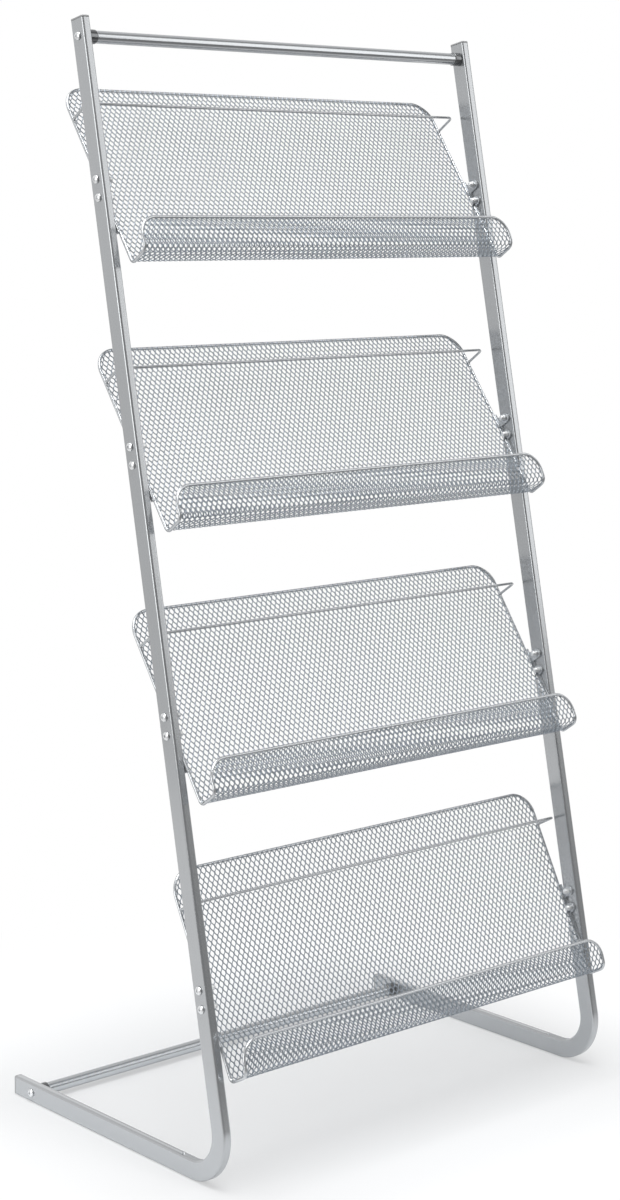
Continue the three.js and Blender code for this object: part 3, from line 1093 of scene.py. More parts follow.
@dataclass(frozen=True)
class TrayShape:
    """The sizes of a tray, and its sheet's bent profile."""

    layout: Layout
    setback: float = 6.6 * MM
    rise: float = 169.5 * MM
    drop: float = 92 * MM
    floor_depth: float = 33 * MM
    lip_height: float = 41.5 * MM
    lip_splay: float = math.radians(10)
    panel_corner: float = 32 * MM
    lip_corner: float = 26 * MM
    fold_radius: float = 6 * MM
    lip_fold_radius: float = 11 * MM
    fold_steps: int = 16
    lip_fold_steps: int = 20
    corner_steps: int = 14

    def profile(self) -> np.ndarray:
        """The sheet's bent profile.

        Returns:
            Points (Y, Z) from the panel's top to the lip's top.
        """
        turn = math.pi / 2 - self.lip_splay
        foot = Vector((self.setback - self.floor_depth, -self.drop, 0.0))
        top = foot + Vector((-math.sin(self.lip_splay), math.cos(self.lip_splay), 0.0)) * self.lip_height
        fold = Vector((self.setback - self.fold_radius, self.fold_radius - self.drop, 0.0))
        tangent = self.lip_fold_radius * math.tan(turn / 2)
        lip = Vector((foot.x + tangent, self.lip_fold_radius - self.drop, 0.0))
        down = -math.pi / 2
        points = [
            Vector((self.setback, self.rise, 0.0)),
            *arc(fold, self.fold_radius, 0.0, down, self.fold_steps),
            *arc(lip, self.lip_fold_radius, down, down - turn, self.lip_fold_steps),
            top,
        ]
        return np.array([(point.x, point.y) for point in points])

    def lengths(self) -> np.ndarray:
        """The length along the profile at each of its points."""
        steps = np.linalg.norm(np.diff(self.profile(), axis=0), axis=1)
        return np.concatenate([[0.0], np.cumsum(steps)])

    def on_sheet(self, across: float, along: float) -> Vector:
        """A point of the bent sheet.

        Args:
            across: Distance along X from the middle.
            along: Length along the profile from the panel's top.

        Returns:
            The point in the tray's frame.
        """
        lengths = self.lengths()
        y, z = (np.interp(along, lengths, column) for column in self.profile().T)
        return Vector((across, y, z))

    def rim_route(self) -> Ring:
        """The rim wire's closed route round the sheet.

        Returns:
            The route's points in the tray's frame.
        """
        length = float(self.lengths()[-1])
        half = self.layout.rim_half_width
        top = Vector((half - self.panel_corner, self.panel_corner, 0.0))
        end = Vector((half - self.lip_corner, length - self.lip_corner, 0.0))
        quarter = math.pi / 2
        corner = arc(top, self.panel_corner, -quarter, 0.0, self.corner_steps)
        lip = arc(end, self.lip_corner, 0.0, quarter, self.corner_steps)
        folds = [Vector((half, along, 0.0)) for along in self.lengths()[1:-1]]
        flat = sorted([*corner, *folds, *lip], key=lambda point: point.y)
        right = [self.on_sheet(point.x, point.y) for point in flat]
        left = [self.on_sheet(-point.x, point.y) for point in reversed(flat)]
        return [*right, *left]


@dataclass(frozen=True)
class ExpandedMetal:
    """The expanded metal of a tray: a bent sheet of hexagonal openings between strands and knuckles."""

    shape: TrayShape
    columns: int = 79
    rows: int = 26
    strand: float = 0.98 * MM
    knuckle: float = 1.7 * MM
    bond: float = 2.2 * MM
    thickness: float = 0.9 * MM
    tilt: float = 0.03 * MM
    overlap: float = 0.5 * MM
    lift: float = 2.1 * MM
    lift_reach: float = 7 * MM
    lead: float = 6 * MM
    weld_distance: float = 0.004 * MM
    least_area: float = 0.003 * MM * MM
    least_reach: float = 1e-6

    @property
    def cell_width(self) -> float:
        """Width of an opening's cell along X."""
        return 2 * self.shape.layout.rim_half_width / self.columns

    @property
    def cell_length(self) -> float:
        """Length of two rows of openings along the panel."""
        return float(self.shape.lengths()[-1]) / self.rows

    def cell(self) -> bpy.types.Mesh:
        """Makes one opening with half of the metal round it, and marks which way its strands lean.

        Returns:
            The flat opening.
        """
        half, quarter = self.cell_width / 2, self.cell_length / 2
        shoulder, peak = self.bond / 2, quarter - self.bond / 2
        normal = Vector((peak - shoulder, half)).normalized()
        level = normal.dot(Vector((half, shoulder))) - self.strand / 2
        hole_half = half - self.knuckle / 2
        hole_shoulder = (level - normal.x * hole_half) / normal.y
        hole_peak = level / normal.y
        points: list[tuple[float, float, float]] = []
        for wide, low, high in ((half, shoulder, peak), (hole_half, hole_shoulder, hole_peak)):
            right, left = [(wide, -low, 0), (wide, low, 0)], [(-wide, low, 0), (-wide, -low, 0)]
            points += [*right, (0, high, 0), *left, (0, -high, 0)]
        count = len(points) // 2
        faces = [(k, (k + 1) % count, count + (k + 1) % count, count + k) for k in range(count)]
        mesh = bpy.data.meshes.new("opening")
        mesh.from_pydata(points, [], faces)
        slope = mesh.attributes.new("slope", "FLOAT", "POINT")
        slope.data.foreach_set("value", [0.0] * count + [-1.0, -1.0, 0.0, 1.0, 1.0, 0.0])
        return mesh

    def profile_curve(self) -> bpy.types.Object:
        """Makes the curve that the tree bends the flat sheet to.

        Returns:
            The sheet's profile, longer at both ends.
        """
        points = self.shape.profile()
        for end, beside in ((0, 1), (-1, -2)):
            outwards = points[end] - points[beside]
            points[end] += outwards / np.linalg.norm(outwards) * self.lead
        return polyline("tray_profile", [(0.0, y, z) for y, z in points])

    def tree(self) -> GeometryTree:
        """Writes the tree: openings on a staggered grid, trimmed to the rim, thickened and bent.

        Returns:
            The tree, ready to bake.
        """
        tree = GeometryTree("expanded_metal")
        cell_width, cell_length = tree.number("Cell Width"), tree.number("Cell Length")
        columns, rows = tree.number("Columns"), tree.number("Rows")
        half, half_length = tree.number("Half Width"), tree.number("Half Length")
        panel_corner, lip_corner = tree.number("Panel Corner"), tree.number("Lip Corner")
        lead, thickness = tree.number("Lead"), tree.number("Thickness")
        tilt, lift, reach = tree.number("Tilt"), tree.number("Lift"), tree.number("Lift Reach")
        grids = []
        for fewer in (0.0, 1.0):
            size = {"Size X": (columns - fewer) * cell_width, "Size Y": (rows - fewer) * cell_length}
            count = {"Vertices X": columns + (1.0 - fewer), "Vertices Y": rows + (1.0 - fewer)}
            grids.append(tree.node("GeometryNodeMeshGrid", inputs={**size, **count}).outputs["Mesh"])
        centres = tree.node("GeometryNodeJoinGeometry")
        for grid in grids:
            tree.feed(centres.inputs[0], grid)
        copies = {0: centres.outputs[0], "Instance": tree.geometry}
        spread = tree.node("GeometryNodeInstanceOnPoints", inputs=copies)
        real = tree.node("GeometryNodeRealizeInstances", inputs={0: spread.outputs[0]})
        sheet = self.welded(tree, real.outputs[0])
        sheet = self.trimmed(tree, sheet, (half, half_length), (panel_corner, lip_corner))
        depth = self.depth_inside(tree, (half, half_length), (panel_corner, lip_corner))
        share = tree.math("MINIMUM", tree.math("MAXIMUM", 1.0 - depth / reach, 0.0), 1.0)
        raised = tree.attribute("slope") * tilt + share * share * lift
        shaped = {0: sheet, "Offset": tree.vector(0.0, 0.0, raised)}
        sheet = tree.node("GeometryNodeSetPosition", inputs=shaped).outputs[0]
        upwards = {"Offset": tree.vector(0.0, 0.0, 1.0), "Offset Scale": thickness, "Individual": False}
        front = tree.node("GeometryNodeExtrudeMesh", {"mode": "FACES"}, {0: sheet, **upwards})
        both = tree.node("GeometryNodeJoinGeometry")
        tree.feed(both.inputs[0], front.outputs[0])
        tree.feed(both.inputs[0], tree.node("GeometryNodeFlipFaces", inputs={0: sheet}).outputs[0])
        solid = self.welded(tree, both.outputs[0])
        bent = self.bent(tree, solid, half_length + lead, thickness)
        smooth_shaded = tree.node("GeometryNodeSetShadeSmooth", inputs={0: bent, "Shade Smooth": True})
        tree.finish(smooth_shaded.outputs[0])
        return tree

    def welded(self, tree: GeometryTree, geometry: bpy.types.NodeSocket) -> bpy.types.NodeSocket:
        """Joins points that lie on each other."""
        inputs = {"Geometry": geometry, "Distance": self.weld_distance}
        return tree.node("GeometryNodeMergeByDistance", inputs=inputs).outputs[0]

    @staticmethod
    def corner_radius(tree: GeometryTree, along: Value, corners: tuple[Value, Value]) -> Value:
        """The outline's corner radius at a point: the panel's at its upper end, the lip's at the other."""
        at_lip = tree.math("GREATER_THAN", along, 0.0)
        return corners[0] * (1.0 - at_lip) + corners[1] * at_lip

    def trimmed(
        self,
        tree: GeometryTree,
        sheet: bpy.types.NodeSocket,
        halves: tuple[Value, Value],
        corners: tuple[Value, Value],
    ) -> bpy.types.NodeSocket:
        """Draws points outside the rim's outline back to it, and drops the faces that this closes.

        Args:
            tree: The tree.
            sheet: The flat sheet.
            halves: Half of the outline's width and length.
            corners: The outline's radius at the panel's corners and at the lip's.

        Returns:
            The trimmed sheet.
        """
        across, along, _ = tree.position()
        radius = self.corner_radius(tree, along, corners)
        moved = []
        beyond = []
        for place, half in zip((across, along), halves):
            core = half - radius
            beyond.append(tree.math("MAXIMUM", abs(place) - core, 0.0))
            moved.append((tree.math("SIGN", place), tree.math("MINIMUM", abs(place), core)))
        distance = tree.hypotenuse(*beyond)
        share = tree.math("MINIMUM", radius / tree.math("MAXIMUM", distance, self.least_reach), 1.0)
        kept = [sign * (core + over * share) for (sign, core), over in zip(moved, beyond)]
        inputs = {0: sheet, "Position": tree.vector(kept[0], kept[1], 0.0)}
        drawn = tree.node("GeometryNodeSetPosition", inputs=inputs).outputs[0]
        area = Value(tree, tree.node("GeometryNodeInputMeshFaceArea").outputs[0])
        limits = {0: area, 1: self.least_area}
        closed = tree.node("FunctionNodeCompare", {"operation": "LESS_THAN"}, limits)
        deleted = {0: drawn, "Selection": closed.outputs[0]}
        return tree.node("GeometryNodeDeleteGeometry", {"domain": "FACE"}, deleted).outputs[0]

    def depth_inside(
        self, tree: GeometryTree, halves: tuple[Value, Value], corners: tuple[Value, Value]
    ) -> Value:
        """Distance of a point inside the rim's outline.

        Args:
            tree: The tree.
            halves: Half of the outline's width and length.
            corners: The outline's radius at the panel's corners and at the lip's.

        Returns:
            The distance, 0 on the outline.
        """
        across, along, _ = tree.position()
        radius = self.corner_radius(tree, along, corners)
        over = [abs(place) - (half - radius) for place, half in zip((across, along), halves)]
        outside = [tree.math("MAXIMUM", value, 0.0) for value in over]
        corner = tree.hypotenuse(*outside)
        return radius - corner - tree.math("MINIMUM", tree.math("MAXIMUM", *over), 0.0)

    @staticmethod
    def bent(
        tree: GeometryTree, solid: bpy.types.NodeSocket, half_length: Value, thickness: Value
    ) -> bpy.types.NodeSocket:
        """Bends the flat sheet to the tray's profile.

        Args:
            tree: The tree.
            solid: The thick flat sheet.
            half_length: Half of its length.
            thickness: Its thickness.

        Returns:
            The bent sheet.
        """
        curve = tree.node("GeometryNodeObjectInfo", inputs={0: tree.named("Profile", InputKind.OBJECT)})
        across, along, height = tree.position()
        inputs = {"Curves": curve.outputs["Geometry"], "Length": along + half_length}
        sample = tree.node("GeometryNodeSampleCurve", {"mode": "LENGTH"}, inputs)
        place = tree.node("ShaderNodeSeparateXYZ", inputs={0: sample.outputs["Position"]})
        heading = tree.node("ShaderNodeSeparateXYZ", inputs={0: sample.outputs["Tangent"]})
        above = height - thickness * 0.5
        y = Value(tree, place.outputs[1]) + Value(tree, heading.outputs[2]) * above
        z = Value(tree, place.outputs[2]) - Value(tree, heading.outputs[1]) * above
        moved = {0: solid, "Position": tree.vector(across, y, z)}
        return tree.node("GeometryNodeSetPosition", inputs=moved).outputs[0]

    def mesh(self, material: bpy.types.Material) -> bpy.types.Mesh:
        """Makes the bent sheet in the tray's frame.

        Args:
            material: Its finish.

        Returns:
            The sheet as a plain mesh.
        """
        curve = self.profile_curve()
        made = self.tree().bake(
            in_scene("opening", self.cell()),
            {
                "Cell Width": self.cell_width,
                "Cell Length": self.cell_length,
                "Columns": float(self.columns),
                "Rows": float(self.rows),
                "Half Width": self.shape.layout.rim_half_width + self.overlap,
                "Half Length": float(self.shape.lengths()[-1]) / 2 + self.overlap,
                "Panel Corner": self.shape.panel_corner + self.overlap,
                "Lip Corner": self.shape.lip_corner + self.overlap,
                "Lead": self.lead - self.overlap,
                "Thickness": self.thickness,
                "Tilt": self.tilt,
                "Lift": self.lift,
                "Lift Reach": self.lift_reach,
                "Profile": curve,
                "Material": material,
            },
        )
        bpy.data.objects.remove(curve)
        return made


@dataclass(frozen=True)
class Wire:
    """Round wire that follows a route."""

    diameter: float
    sides: int = 14

    def tree(self) -> GeometryTree:
        """Writes the tree: a round section carried along the base object's curve.

        Returns:
            The tree, ready to bake.
        """
        tree = GeometryTree("round_wire")
        radius, sides = tree.number("Radius"), tree.named("Sides", InputKind.COUNT)
        circle = {"Resolution": sides, "Radius": radius}
        section = tree.node("GeometryNodeCurvePrimitiveCircle", inputs=circle)
        carried = {"Curve": tree.geometry, "Profile Curve": section.outputs[0], "Fill Caps": True}
        swept = tree.node("GeometryNodeCurveToMesh", inputs=carried)
        shaded = tree.node("GeometryNodeSetShadeSmooth", inputs={0: swept.outputs[0], "Shade Smooth": True})
        tree.finish(shaded.outputs[0])
        return tree

    def mesh(self, route: Ring, closed: bool, material: bpy.types.Material) -> bpy.types.Mesh:
        """Makes the wire.

        Args:
            route: The points of its middle line.
            closed: Whether the route ends where it starts.
            material: Its finish.

        Returns:
            The wire as a plain mesh.
        """
        values = {"Radius": self.diameter / 2, "Sides": self.sides, "Material": material}
        return self.tree().bake(polyline("wire_route", route, closed), values)


@dataclass(frozen=True)
class Trays:
    """The four trays: expanded metal, rim wire with its tabs, and bail."""

    layout: Layout
    palette: Palette
    bail_wire: float = 3.5 * MM
    bail_rise: float = 122 * MM
    bail_standoff: float = 34 * MM
    bail_bend: float = 7 * MM
    tab_rise: float = 34 * MM
    tab_drop: float = 48 * MM
    tab_back: float = 2.2 * MM
    tab_front: float = 3 * MM
    tab_edge: float = 0.35 * MM
    ear_radius: float = 6.5 * MM
    ear_fillet: float = 2.5 * MM
    weld_radius: float = 2.4 * MM
    weld_shape: tuple[float, float, float] = (0.9, 0.75, 1.15)
    bail_steps: int = 8
    fillet_steps: int = 5
    ear_steps: int = 18
    level_tolerance: float = 1e-9

    def build(self) -> None:
        """Adds every tray's pieces."""
        shape = TrayShape(self.layout)
        # The sheet's darker tint is painted shade and the rim's lighter tint is painted light, both on the
        # tray's one paint.
        finishes = {"mesh": self.palette.sheet, "rim": self.palette.rim, "bail": self.palette.wire}
        sheet = ExpandedMetal(shape).mesh(finishes["mesh"])
        rim = Wire(self.layout.rim_wire).mesh(shape.rim_route(), True, finishes["rim"])
        bow = Wire(self.bail_wire).mesh(self.bail_route(shape), False, finishes["bail"])
        bail = joined("bail", [bow, *self.welds(shape)])
        for tier in range(len(self.layout.panel_leans)):
            place = self.layout.tray_place(tier)
            tabs = [self.tab(shape, tier, side) for side in Side]
            pieces = {"mesh": sheet.copy(), "rim": joined("rim", [rim.copy(), *tabs]), "bail": bail.copy()}
            names = {"mesh": "expanded_metal", "rim": "rim_wire", "bail": "bail_wire"}
            for kind, mesh in pieces.items():
                mesh.transform(place)
                tray = f"tray_{tier + 1}"
                add_piece(f"{tray}_{names[kind]}", mesh, finishes[kind], [f"{tray}_{kind}"])

    def bail_route(self, shape: TrayShape) -> Ring:
        """The bail's route: from one side of the rim forwards, across, and back to the other side.

        Args:
            shape: The tray's sizes.

        Returns:
            The route's points in the tray's frame.
        """
        half = self.layout.rim_half_width
        front = shape.setback - self.bail_standoff
        foot = shape.setback - self.layout.rim_wire / 2 + self.layout.seat_gap
        centre = Vector((half - self.bail_bend, front + self.bail_bend, self.bail_rise))
        bend = arc(centre, self.bail_bend, 0.0, -math.pi / 2, self.bail_steps)
        right = [Vector((half, foot, self.bail_rise)), *bend]
        left = [Vector((-point.x, point.y, point.z)) for point in reversed(right)]
        return [*right, *left]

    def welds(self, shape: TrayShape) -> list[bpy.types.Mesh]:
        """The beads of weld at the bail's feet.

        Args:
            shape: The tray's sizes.

        Returns:
            One bead a side, in the tray's frame.
        """
        beads = []
        for side in Side:
            bead = bmesh.new()
            place = (
                side.value * self.layout.rim_half_width,
                shape.setback - self.layout.rim_wire / 2,
                self.bail_rise,
            )
            bmesh.ops.create_icosphere(bead, subdivisions=2, radius=self.weld_radius)
            bead.transform(Matrix.Translation(place) @ Matrix.Diagonal((*self.weld_shape, 1.0)))
            mesh = bpy.data.meshes.new("weld")
            bead.to_mesh(mesh)
            bead.free()
            beads.append(mesh)
        return beads

    def tab_outline(self, shape: TrayShape, tier: int) -> Ring:
        """A tab's outline: a strip along the rim with an ear round each screw.

        Args:
            shape: The tray's sizes.
            tier: The tray's number from below.

        Returns:
            The outline as (Y, Z) in the tray's frame.
        """
        back, front = shape.setback + self.tab_back, shape.setback - self.tab_front
        inverse = self.layout.tray_place(tier).inverted()
        axes = self.layout.screw_axes(tier)
        outline = [Vector((back, -self.tab_drop, 0.0)), Vector((back, self.tab_rise, 0.0))]
        outline.append(Vector((front, self.tab_rise, 0.0)))
        for level in ("upper", "lower"):
            axis = inverse @ axes[level]
            centre = Vector((axis.y, axis.z, 0.0))
            quarter, fillet = math.pi / 2, self.ear_fillet
            above = Vector((front - fillet, axis.z + self.ear_radius + fillet, 0.0))
            below = Vector((front - fillet, axis.z - self.ear_radius - fillet, 0.0))
            outline += arc(above, fillet, 0.0, -quarter, self.fillet_steps)
            outline += arc(centre, self.ear_radius, quarter, 3 * quarter, self.ear_steps)
            outline += arc(below, fillet, quarter, 0.0, self.fillet_steps)
        outline.append(Vector((front, -self.tab_drop, 0.0)))
        return outline

    def tab(self, shape: TrayShape, tier: int, side: Side) -> bpy.types.Mesh:
        """Makes one tab, with its edges rounded over.

        Args:
            shape: The tray's sizes.
            tier: The tray's number from below.
            side: The side it is on.

        Returns:
            The tab in the tray's frame.
        """
        inner = self.layout.tab_inner_face
        levels = [inner, inner + self.layout.tab_thickness]
        plate = bmesh.new()
        outline = self.tab_outline(shape, tier)
        corners = [plate.verts.new((side.value * levels[0], p.x, p.y)) for p in outline]
        face = plate.faces.new(corners)
        raised = bmesh.ops.extrude_face_region(plate, geom=[face])
        moved = [item for item in raised["geom"] if isinstance(item, bmesh.types.BMVert)]
        bmesh.ops.translate(plate, verts=moved, vec=(side.value * (levels[1] - levels[0]), 0.0, 0.0))
        bmesh.ops.recalc_face_normals(plate, faces=plate.faces)
        level = self.level_tolerance
        rims = [edge for edge in plate.edges if abs(edge.verts[0].co.x - edge.verts[1].co.x) < level]
        bmesh.ops.bevel(plate, geom=rims, offset=self.tab_edge, segments=2, profile=0.5, affect="EDGES")
        mesh = bpy.data.meshes.new("tab")
        plate.to_mesh(mesh)
        plate.free()
        return mesh


@dataclass(frozen=True)
class Fasteners:
    """The screws and dome nuts."""

    layout: Layout
    palette: Palette
    shank: float = 5 * MM
    head_diameter: float = 10.5 * MM
    head_height: float = 3.4 * MM
    head_edge: float = 0.8 * MM
    recess_length: float = 5.4 * MM
    recess_width: float = 1.5 * MM
    recess_depth: float = 1.7 * MM
    shank_length: float = 20.9 * MM
    nut_flats: float = 8 * MM
    nut_hex: float = 4 * MM
    nut_dome: float = 7.6 * MM
    nut_height: float = 9 * MM
    nut_chamfers: tuple[tuple[float, float], ...] = ((0.96, 0.0), (1.04, 0.3 * MM), (1.2, 0.7 * MM))
    nut_sides: int = 36
    head_lead: float = 0.3 * MM
    screw_sides: int = 32
    point_taper: float = 0.8
    point_length: float = 0.5 * MM
    recess_taper: float = 0.55
    dome_steps: int = 8
    dome_end: float = 0.97
    crease: float = math.radians(32)
    seed: int = 7

    def build(self) -> None:
        """Adds all the screws as one piece and all the nuts as another."""
        fixings: dict[str, list[tuple[Vector, Side, str]]] = {"screw": [], "nut": []}
        for tier in range(len(self.layout.panel_leans)):
            for level, axis in self.layout.screw_axes(tier).items():
                for side in Side:
                    for kind, found in fixings.items():
                        found.append((axis, side, f"tray_{tier + 1}_{kind}_{side.word}_{level}"))
        for level, axis in self.layout.bar_places.items():
            for side in Side:
                fixings["screw"].append((axis, side, f"{level}_bar_screw_{side.word}"))
        seats = {
            "screw": self.layout.overall_width / 2 + self.layout.seat_gap,
            "nut": self.layout.tab_inner_face - self.layout.seat_gap,
        }
        makers: dict[str, Callable[[], bpy.types.Mesh]] = {"screw": self.screw, "nut": self.nut}
        for kind, found in fixings.items():
            mesh = self.spread(makers[kind](), seats[kind], found)
            smooth(mesh, self.crease)
            add_piece(f"rack_{kind}s", mesh, self.palette.zinc, [node for _, _, node in found])

    def spread(
        self, fastener: bpy.types.Mesh, seat: float, places: Sequence[tuple[Vector, Side, str]]
    ) -> bpy.types.Mesh:
        """Sets a copy of a fastener at every place, each turned at random on its own axis.

        Args:
            fastener: The fastener along X.
            seat: Distance of its seat from the rack's middle plane.
            places: The axis and side of each copy.

        Returns:
            All the copies as one mesh.
        """
        tree = GeometryTree("fastener_set")
        single = tree.named("Fastener", InputKind.OBJECT)
        seed = tree.named("Seed", InputKind.COUNT)
        shape = tree.node("GeometryNodeObjectInfo", inputs={0: single})
        spin = tree.node("FunctionNodeRandomValue", {"data_type": "FLOAT"}, {"Seed": seed})
        turn = Value(tree, spin.outputs[1]) * (2 * math.pi)
        flip = tree.attribute("flip") * math.pi
        turned = {"Instance": shape.outputs["Geometry"], "Rotation": tree.vector(turn, 0.0, flip)}
        copies = tree.node("GeometryNodeInstanceOnPoints", inputs={0: tree.geometry, **turned})
        tree.finish(copies.outputs[0])
        points = bpy.data.meshes.new("fastener_places")
        points.from_pydata([(side.value * seat, axis.y, axis.z) for axis, side, _ in places], [], [])
        flips = points.attributes.new("flip", "FLOAT", "POINT")
        flips.data.foreach_set("value", [float(side is Side.LEFT) for _, side, _ in places])
        source = in_scene("fastener", fastener)
        values = {"Fastener": source, "Seed": self.seed, "Material": self.palette.zinc}
        mesh = tree.bake(in_scene("fastener_places", points), values)
        bpy.data.objects.remove(source)
        return mesh

    def screw(self) -> bpy.types.Mesh:
        """Makes a screw with a domed head and a cross recess.

        Returns:
            The screw, with its seat at X = 0 and its shank towards -X.
        """
        head, radius, tip = self.head_diameter / 2, self.shank / 2, -self.shank_length
        dome = []
        for angle in self.dome_angles():
            height = self.head_edge + (self.head_height - self.head_edge) * math.sin(angle)
            dome.append((head * math.cos(angle), height))
        shank = [(radius * self.point_taper, tip), (radius, tip + self.point_length), (radius, 0.0)]
        under = [(head - self.head_lead, 0.0), (head, self.head_lead)]
        profile = [*shank, *under, *dome]
        blank = in_scene("screw_blank", revolved(profile, self.screw_sides).mesh("screw_blank"))
        cutters = []
        for turn in (0.0, math.pi / 2):
            cutter = bmesh.new()
            bmesh.ops.create_cube(cutter, size=1.0)
            size = Matrix.Diagonal((2 * self.recess_depth, self.recess_length, self.recess_width, 1.0))
            for corner in cutter.verts:
                if corner.co.x < 0.0:
                    corner.co.yz = corner.co.yz * self.recess_taper
            place = Matrix.Translation((self.head_height, 0.0, 0.0))
            cutter.transform(place @ Matrix.Rotation(turn, 4, "X") @ size)
            mesh = bpy.data.meshes.new("recess")
            cutter.to_mesh(mesh)
            cutter.free()
            cutters.append(in_scene("recess", mesh))
            cut = blank.modifiers.new("recess", "BOOLEAN")
            cut.solver = "EXACT"
            cut.object = cutters[-1]
        mesh = plain_mesh(blank)
        for spent in (blank, *cutters):
            bpy.data.objects.remove(spent)
        return mesh

    def nut(self) -> bpy.types.Mesh:
        """Makes a dome nut with chamfered corners.

        Returns:
            The nut, with its seat at X = 0 and its dome towards -X.
        """
        angles = [2 * math.pi * side / self.nut_sides for side in range(self.nut_sides)]
        flat = self.nut_flats / 2

        def hexagon(angle: float, limit: float) -> float:
            """Radius of the hexagon at an angle, held to the chamfer's cone."""
            return min(flat / math.cos((angle + math.pi / 6) % (math.pi / 3) - math.pi / 6), limit)

        below = [(flat * share, depth) for share, depth in self.nut_chamfers]
        above = [(limit, self.nut_hex - depth) for limit, depth in reversed(below[1:])]
        rings = []
        for limit, depth in [*below, *above]:
            rings.append([Vector((-depth, *self.polar(hexagon(a, limit), a))) for a in angles])
        dome = self.nut_dome / 2
        straight = self.nut_height - dome
        levels = [(dome * math.cos(turn), straight + dome * math.sin(turn)) for turn in self.dome_angles()]
        for radius, depth in [(dome, self.nut_hex), *levels]:
            rings.append([Vector((-depth, *self.polar(radius, a))) for a in angles])
        skin = Skin()
        skin.loft(rings)
        return skin.mesh("nut", self.crease)

    def dome_angles(self) -> list[float]:
        """The steps up a dome, which stops just short of its pole."""
        shares = [min(step / self.dome_steps, self.dome_end) for step in range(self.dome_steps + 1)]
        return [math.pi / 2 * share for share in shares]

    @staticmethod
    def polar(radius: float, angle: float) -> tuple[float, float]:
        """A point at a radius and angle, as Y and Z."""
        return radius * math.cos(angle), radius * math.sin(angle)


@dataclass(frozen=True)
class Lamp:
    """A soft rectangular light.

    Attributes:
        name: The light's name.
        place: Where it hangs.
        target: The point it faces.
        size: Its width and height.
        power: Its power in watts.
    """

    name: str
    place: tuple[float, float, float]
    target: tuple[float, float, float]
    size: tuple[float, float]
    power: float

    def build(self) -> None:
        """Hangs the light."""
        data = bpy.data.lights.new(self.name, "AREA")
        data.shape = "RECTANGLE"
        data.size, data.size_y = self.size
        data.energy = self.power
        light = in_scene(self.name, data)
        light.location = self.place
        light.rotation_mode = "QUATERNION"
        light.rotation_quaternion = (Vector(self.target) - Vector(self.place)).to_track_quat("-Z", "Y")


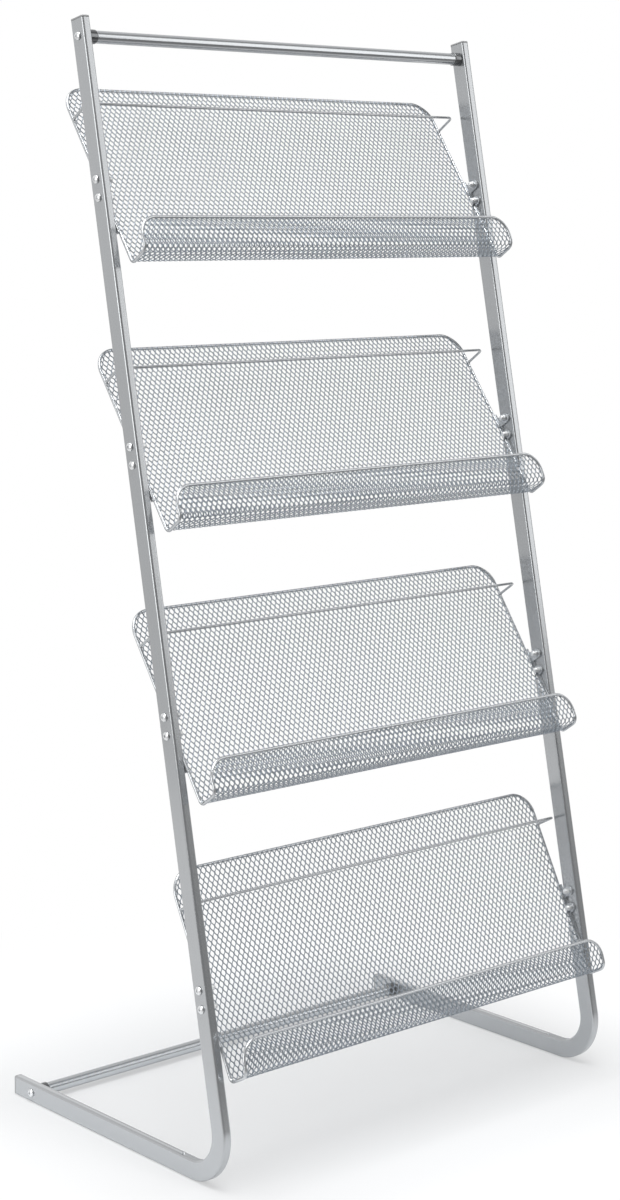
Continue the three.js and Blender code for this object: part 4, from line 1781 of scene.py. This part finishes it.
@dataclass(frozen=True)
class Studio:
    """The near-white floor with a painted shadow about the rack, the soft lights and the camera.

    The camera sees plain white round the floor. What the metal reflects is given by the strengths of the
    backdrop, the ceiling, the floor and the dim front, and by the spans over which one turns into the next.
    """

    camera_place: tuple[float, float, float] = (-2.0577, -2.342, 1.162)
    camera_yaw: float = math.radians(41.133)
    camera_pitch: float = math.radians(5.886)
    focal_pixels: float = 2375.5
    centre_above: float = 134.6
    image_height: float = 1200.0
    floor_size: float = 40.0
    floor_gap: float = 0.3 * MM
    floor_tone: Colour = (0.821, 0.834, 0.849)
    floor_centre: float = 0.04
    floor_fade: tuple[float, float] = (0.25, 0.8)
    # Painted shadow: about the rack the camera sees the lit floor mixed with a grey glow, of this tone over
    # the footprint given by the half sizes, fading to white over the reach past it.
    pale_tone: float = 0.775
    pale_share: float = 0.5
    pale_half: tuple[float, float] = (0.29, 0.2)
    pale_reach: tuple[float, float] = (0.0, 0.27)
    backdrop_left: float = 0.8
    backdrop_right: float = 1.05
    floor_front: float = 0.2
    floor_near: float = 0.92
    floor_far: float = 0.69
    front_left: float = 0.2
    front_right: float = 0.48
    front_high: float = 0.28
    ceiling_left: float = 0.85
    ceiling_right: float = 0.65
    side_span: tuple[float, float] = (-0.7, 0.7)
    behind_span: tuple[float, float] = (-0.3, 0.2)
    ceiling_span: tuple[float, float] = (0.3, 0.55)
    front_side_span: tuple[float, float] = (0.45, 0.8)
    front_rise_span: tuple[float, float] = (0.3, 0.6)
    floor_slant: float = 0.2
    floor_behind_span: tuple[float, float] = (-1.6, 0.1)
    floor_far_span: tuple[float, float] = (1.6, 2.6)
    view_depth: float = 50.0
    lamps: tuple[Lamp, ...] = (
        Lamp("overhead", place=(-0.7, -1.2, 6.5), target=(-0.7, 0.0, 0.0), size=(2.6, 5.0), power=362.0),
        Lamp("front_right", place=(3.2, -3.3, 2.7), target=(0.0, 0.0, 1.0), size=(2.0, 3.6), power=29.0),
        Lamp("left", place=(-3.95, -0.6, 1.6), target=(0.0, 0.0, 0.8), size=(2.6, 2.6), power=52.0),
    )

    def build(self) -> None:
        """Sets up the view, the floor, the lights and the camera."""
        bpy.context.scene.view_settings.view_transform = "Standard"
        self.world()
        self.floor()
        for lamp in self.lamps:
            lamp.build()
        self.camera()

    def world(self) -> None:
        """Makes the surroundings: white to the eye, a bright backdrop and a dim front elsewhere."""
        world = bpy.data.worlds.new("studio")
        world.use_nodes = True
        bpy.context.scene.world = world
        tree = Tree(world.node_tree)
        tree.nodes.nodes.clear()
        heading = tree.node("ShaderNodeTexCoord").outputs["Generated"]
        split = tree.node("ShaderNodeSeparateXYZ", inputs={0: heading})
        right, back, up = (Value(tree, output) for output in split.outputs)
        backdrop = self.ramp(tree, right, self.side_span, (self.backdrop_left, self.backdrop_right))
        share = self.ramp(tree, back, self.behind_span, (0.0, 1.0))
        ceiling = self.ramp(tree, right, self.side_span, (self.ceiling_left, self.ceiling_right))
        height = self.ramp(tree, up, self.ceiling_span, (0.0, 1.0))
        low = self.ramp(tree, right, self.front_side_span, (self.front_left, self.front_right))
        front = self.ramp(tree, up, self.front_rise_span, (low, self.front_high))
        behind = backdrop + (ceiling - backdrop) * height
        seen = Value(tree, tree.node("ShaderNodeLightPath").outputs["Is Camera Ray"])
        strength = seen + (1.0 - seen) * (front + (behind - front) * share)
        light = {"Color": (1.0, 1.0, 1.0, 1.0), "Strength": strength}
        sky = tree.node("ShaderNodeBackground", inputs=light)
        tree.node("ShaderNodeOutputWorld", inputs={"Surface": sky.outputs[0]})

    @staticmethod
    def ramp(
        tree: Tree, value: Value, source: tuple[float, float], target: tuple[Value | float, Value | float]
    ) -> Value:
        """Carries a value smoothly from one range to another.

        Args:
            tree: The tree.
            value: The value.
            source: The range it starts in.
            target: The range it ends in.

        Returns:
            The new value.
        """
        inputs = dict(enumerate([value, *source, *target]))
        made = tree.node("ShaderNodeMapRange", {"interpolation_type": "SMOOTHSTEP"}, inputs)
        return Value(tree, made.outputs[0])

    def floor(self) -> None:
        """Makes the floor: lit and shaded about the rack, with a painted shadow over its footprint, plain
        white further away.
        """
        half = self.floor_size / 2
        mesh = bpy.data.meshes.new("floor")
        corners = [(-half, -half), (half, -half), (half, half), (-half, half)]
        mesh.from_pydata([(x, y, -self.floor_gap) for x, y in corners], [], [(0, 1, 2, 3)])
        tree = MaterialTree("floor_white")
        split = tree.node("ShaderNodeSeparateXYZ", inputs={0: tree.place})
        across, along = (Value(tree, output) for output in split.outputs[:2])
        beyond = along - self.floor_centre
        distance = tree.hypotenuse(across, beyond)
        away = self.ramp(tree, distance, self.floor_fade, (0.0, 1.0))
        seen = Value(tree, tree.node("ShaderNodeLightPath").outputs["Is Camera Ray"])
        far = away + (1.0 - away) * seen * self.pale_share
        sides = zip((across, along), self.pale_half)
        past = [tree.math("MAXIMUM", abs(place) - reach, 0.0) for place, reach in sides]
        margin = tree.hypotenuse(*past)
        # Painted shadow: a grey glow over the rack's footprint that fades to white past it.
        painted_shadow = self.ramp(tree, margin, self.pale_reach, (self.pale_tone, 1.0))
        slanted = along + across * self.floor_slant
        share = self.ramp(tree, slanted, self.floor_behind_span, (0.0, 1.0))
        back = self.ramp(tree, distance, self.floor_far_span, (self.floor_near, self.floor_far))
        unseen = self.floor_front + (back - self.floor_front) * share
        matt = tree.node("ShaderNodeBsdfDiffuse", inputs={"Color": (*self.floor_tone, 1.0)})
        # For the camera this glow is a painted shadow of grey over the footprint and white further out;
        # other rays see the studio floor's brightness.
        white = tree.node("ShaderNodeEmission", inputs={"Strength": seen * painted_shadow + (1.0 - seen) * unseen})
        mixed = tree.node("ShaderNodeMixShader", inputs={0: far, 1: matt.outputs[0], 2: white.outputs[0]})
        tree.node("ShaderNodeOutputMaterial", inputs={"Surface": mixed.outputs[0]})
        mesh.materials.append(tree.material)
        in_scene("floor", mesh)

    def camera(self) -> None:
        """Makes the camera at the photograph's place and angle."""
        data = bpy.data.cameras.new("camera")
        data.sensor_fit = "AUTO"
        data.lens = data.sensor_width * self.focal_pixels / self.image_height
        data.shift_y = -self.centre_above / self.image_height
        data.clip_end = self.view_depth
        camera = in_scene("camera", data)
        camera.location = self.camera_place
        flat = math.cos(self.camera_pitch)
        ahead = Vector(
            (
                math.sin(self.camera_yaw) * flat,
                math.cos(self.camera_yaw) * flat,
                -math.sin(self.camera_pitch),
            )
        )
        camera.rotation_mode = "QUATERNION"
        camera.rotation_quaternion = ahead.to_track_quat("-Z", "Y")
        bpy.context.scene.camera = camera


def main() -> None:
    """Builds the dressed rack and its studio."""
    logging.basicConfig(level=logging.INFO, format="%(name)s: %(message)s")
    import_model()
    palette = Palette()
    layout = Layout(bend_y=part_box("rail_left")[1].y - Layout.leg_length)
    for assembly in (Rails, Crossbars, Trays, Fasteners):
        assembly(layout, palette).build()
    Studio().build()


if __name__ == "__main__":
    main()
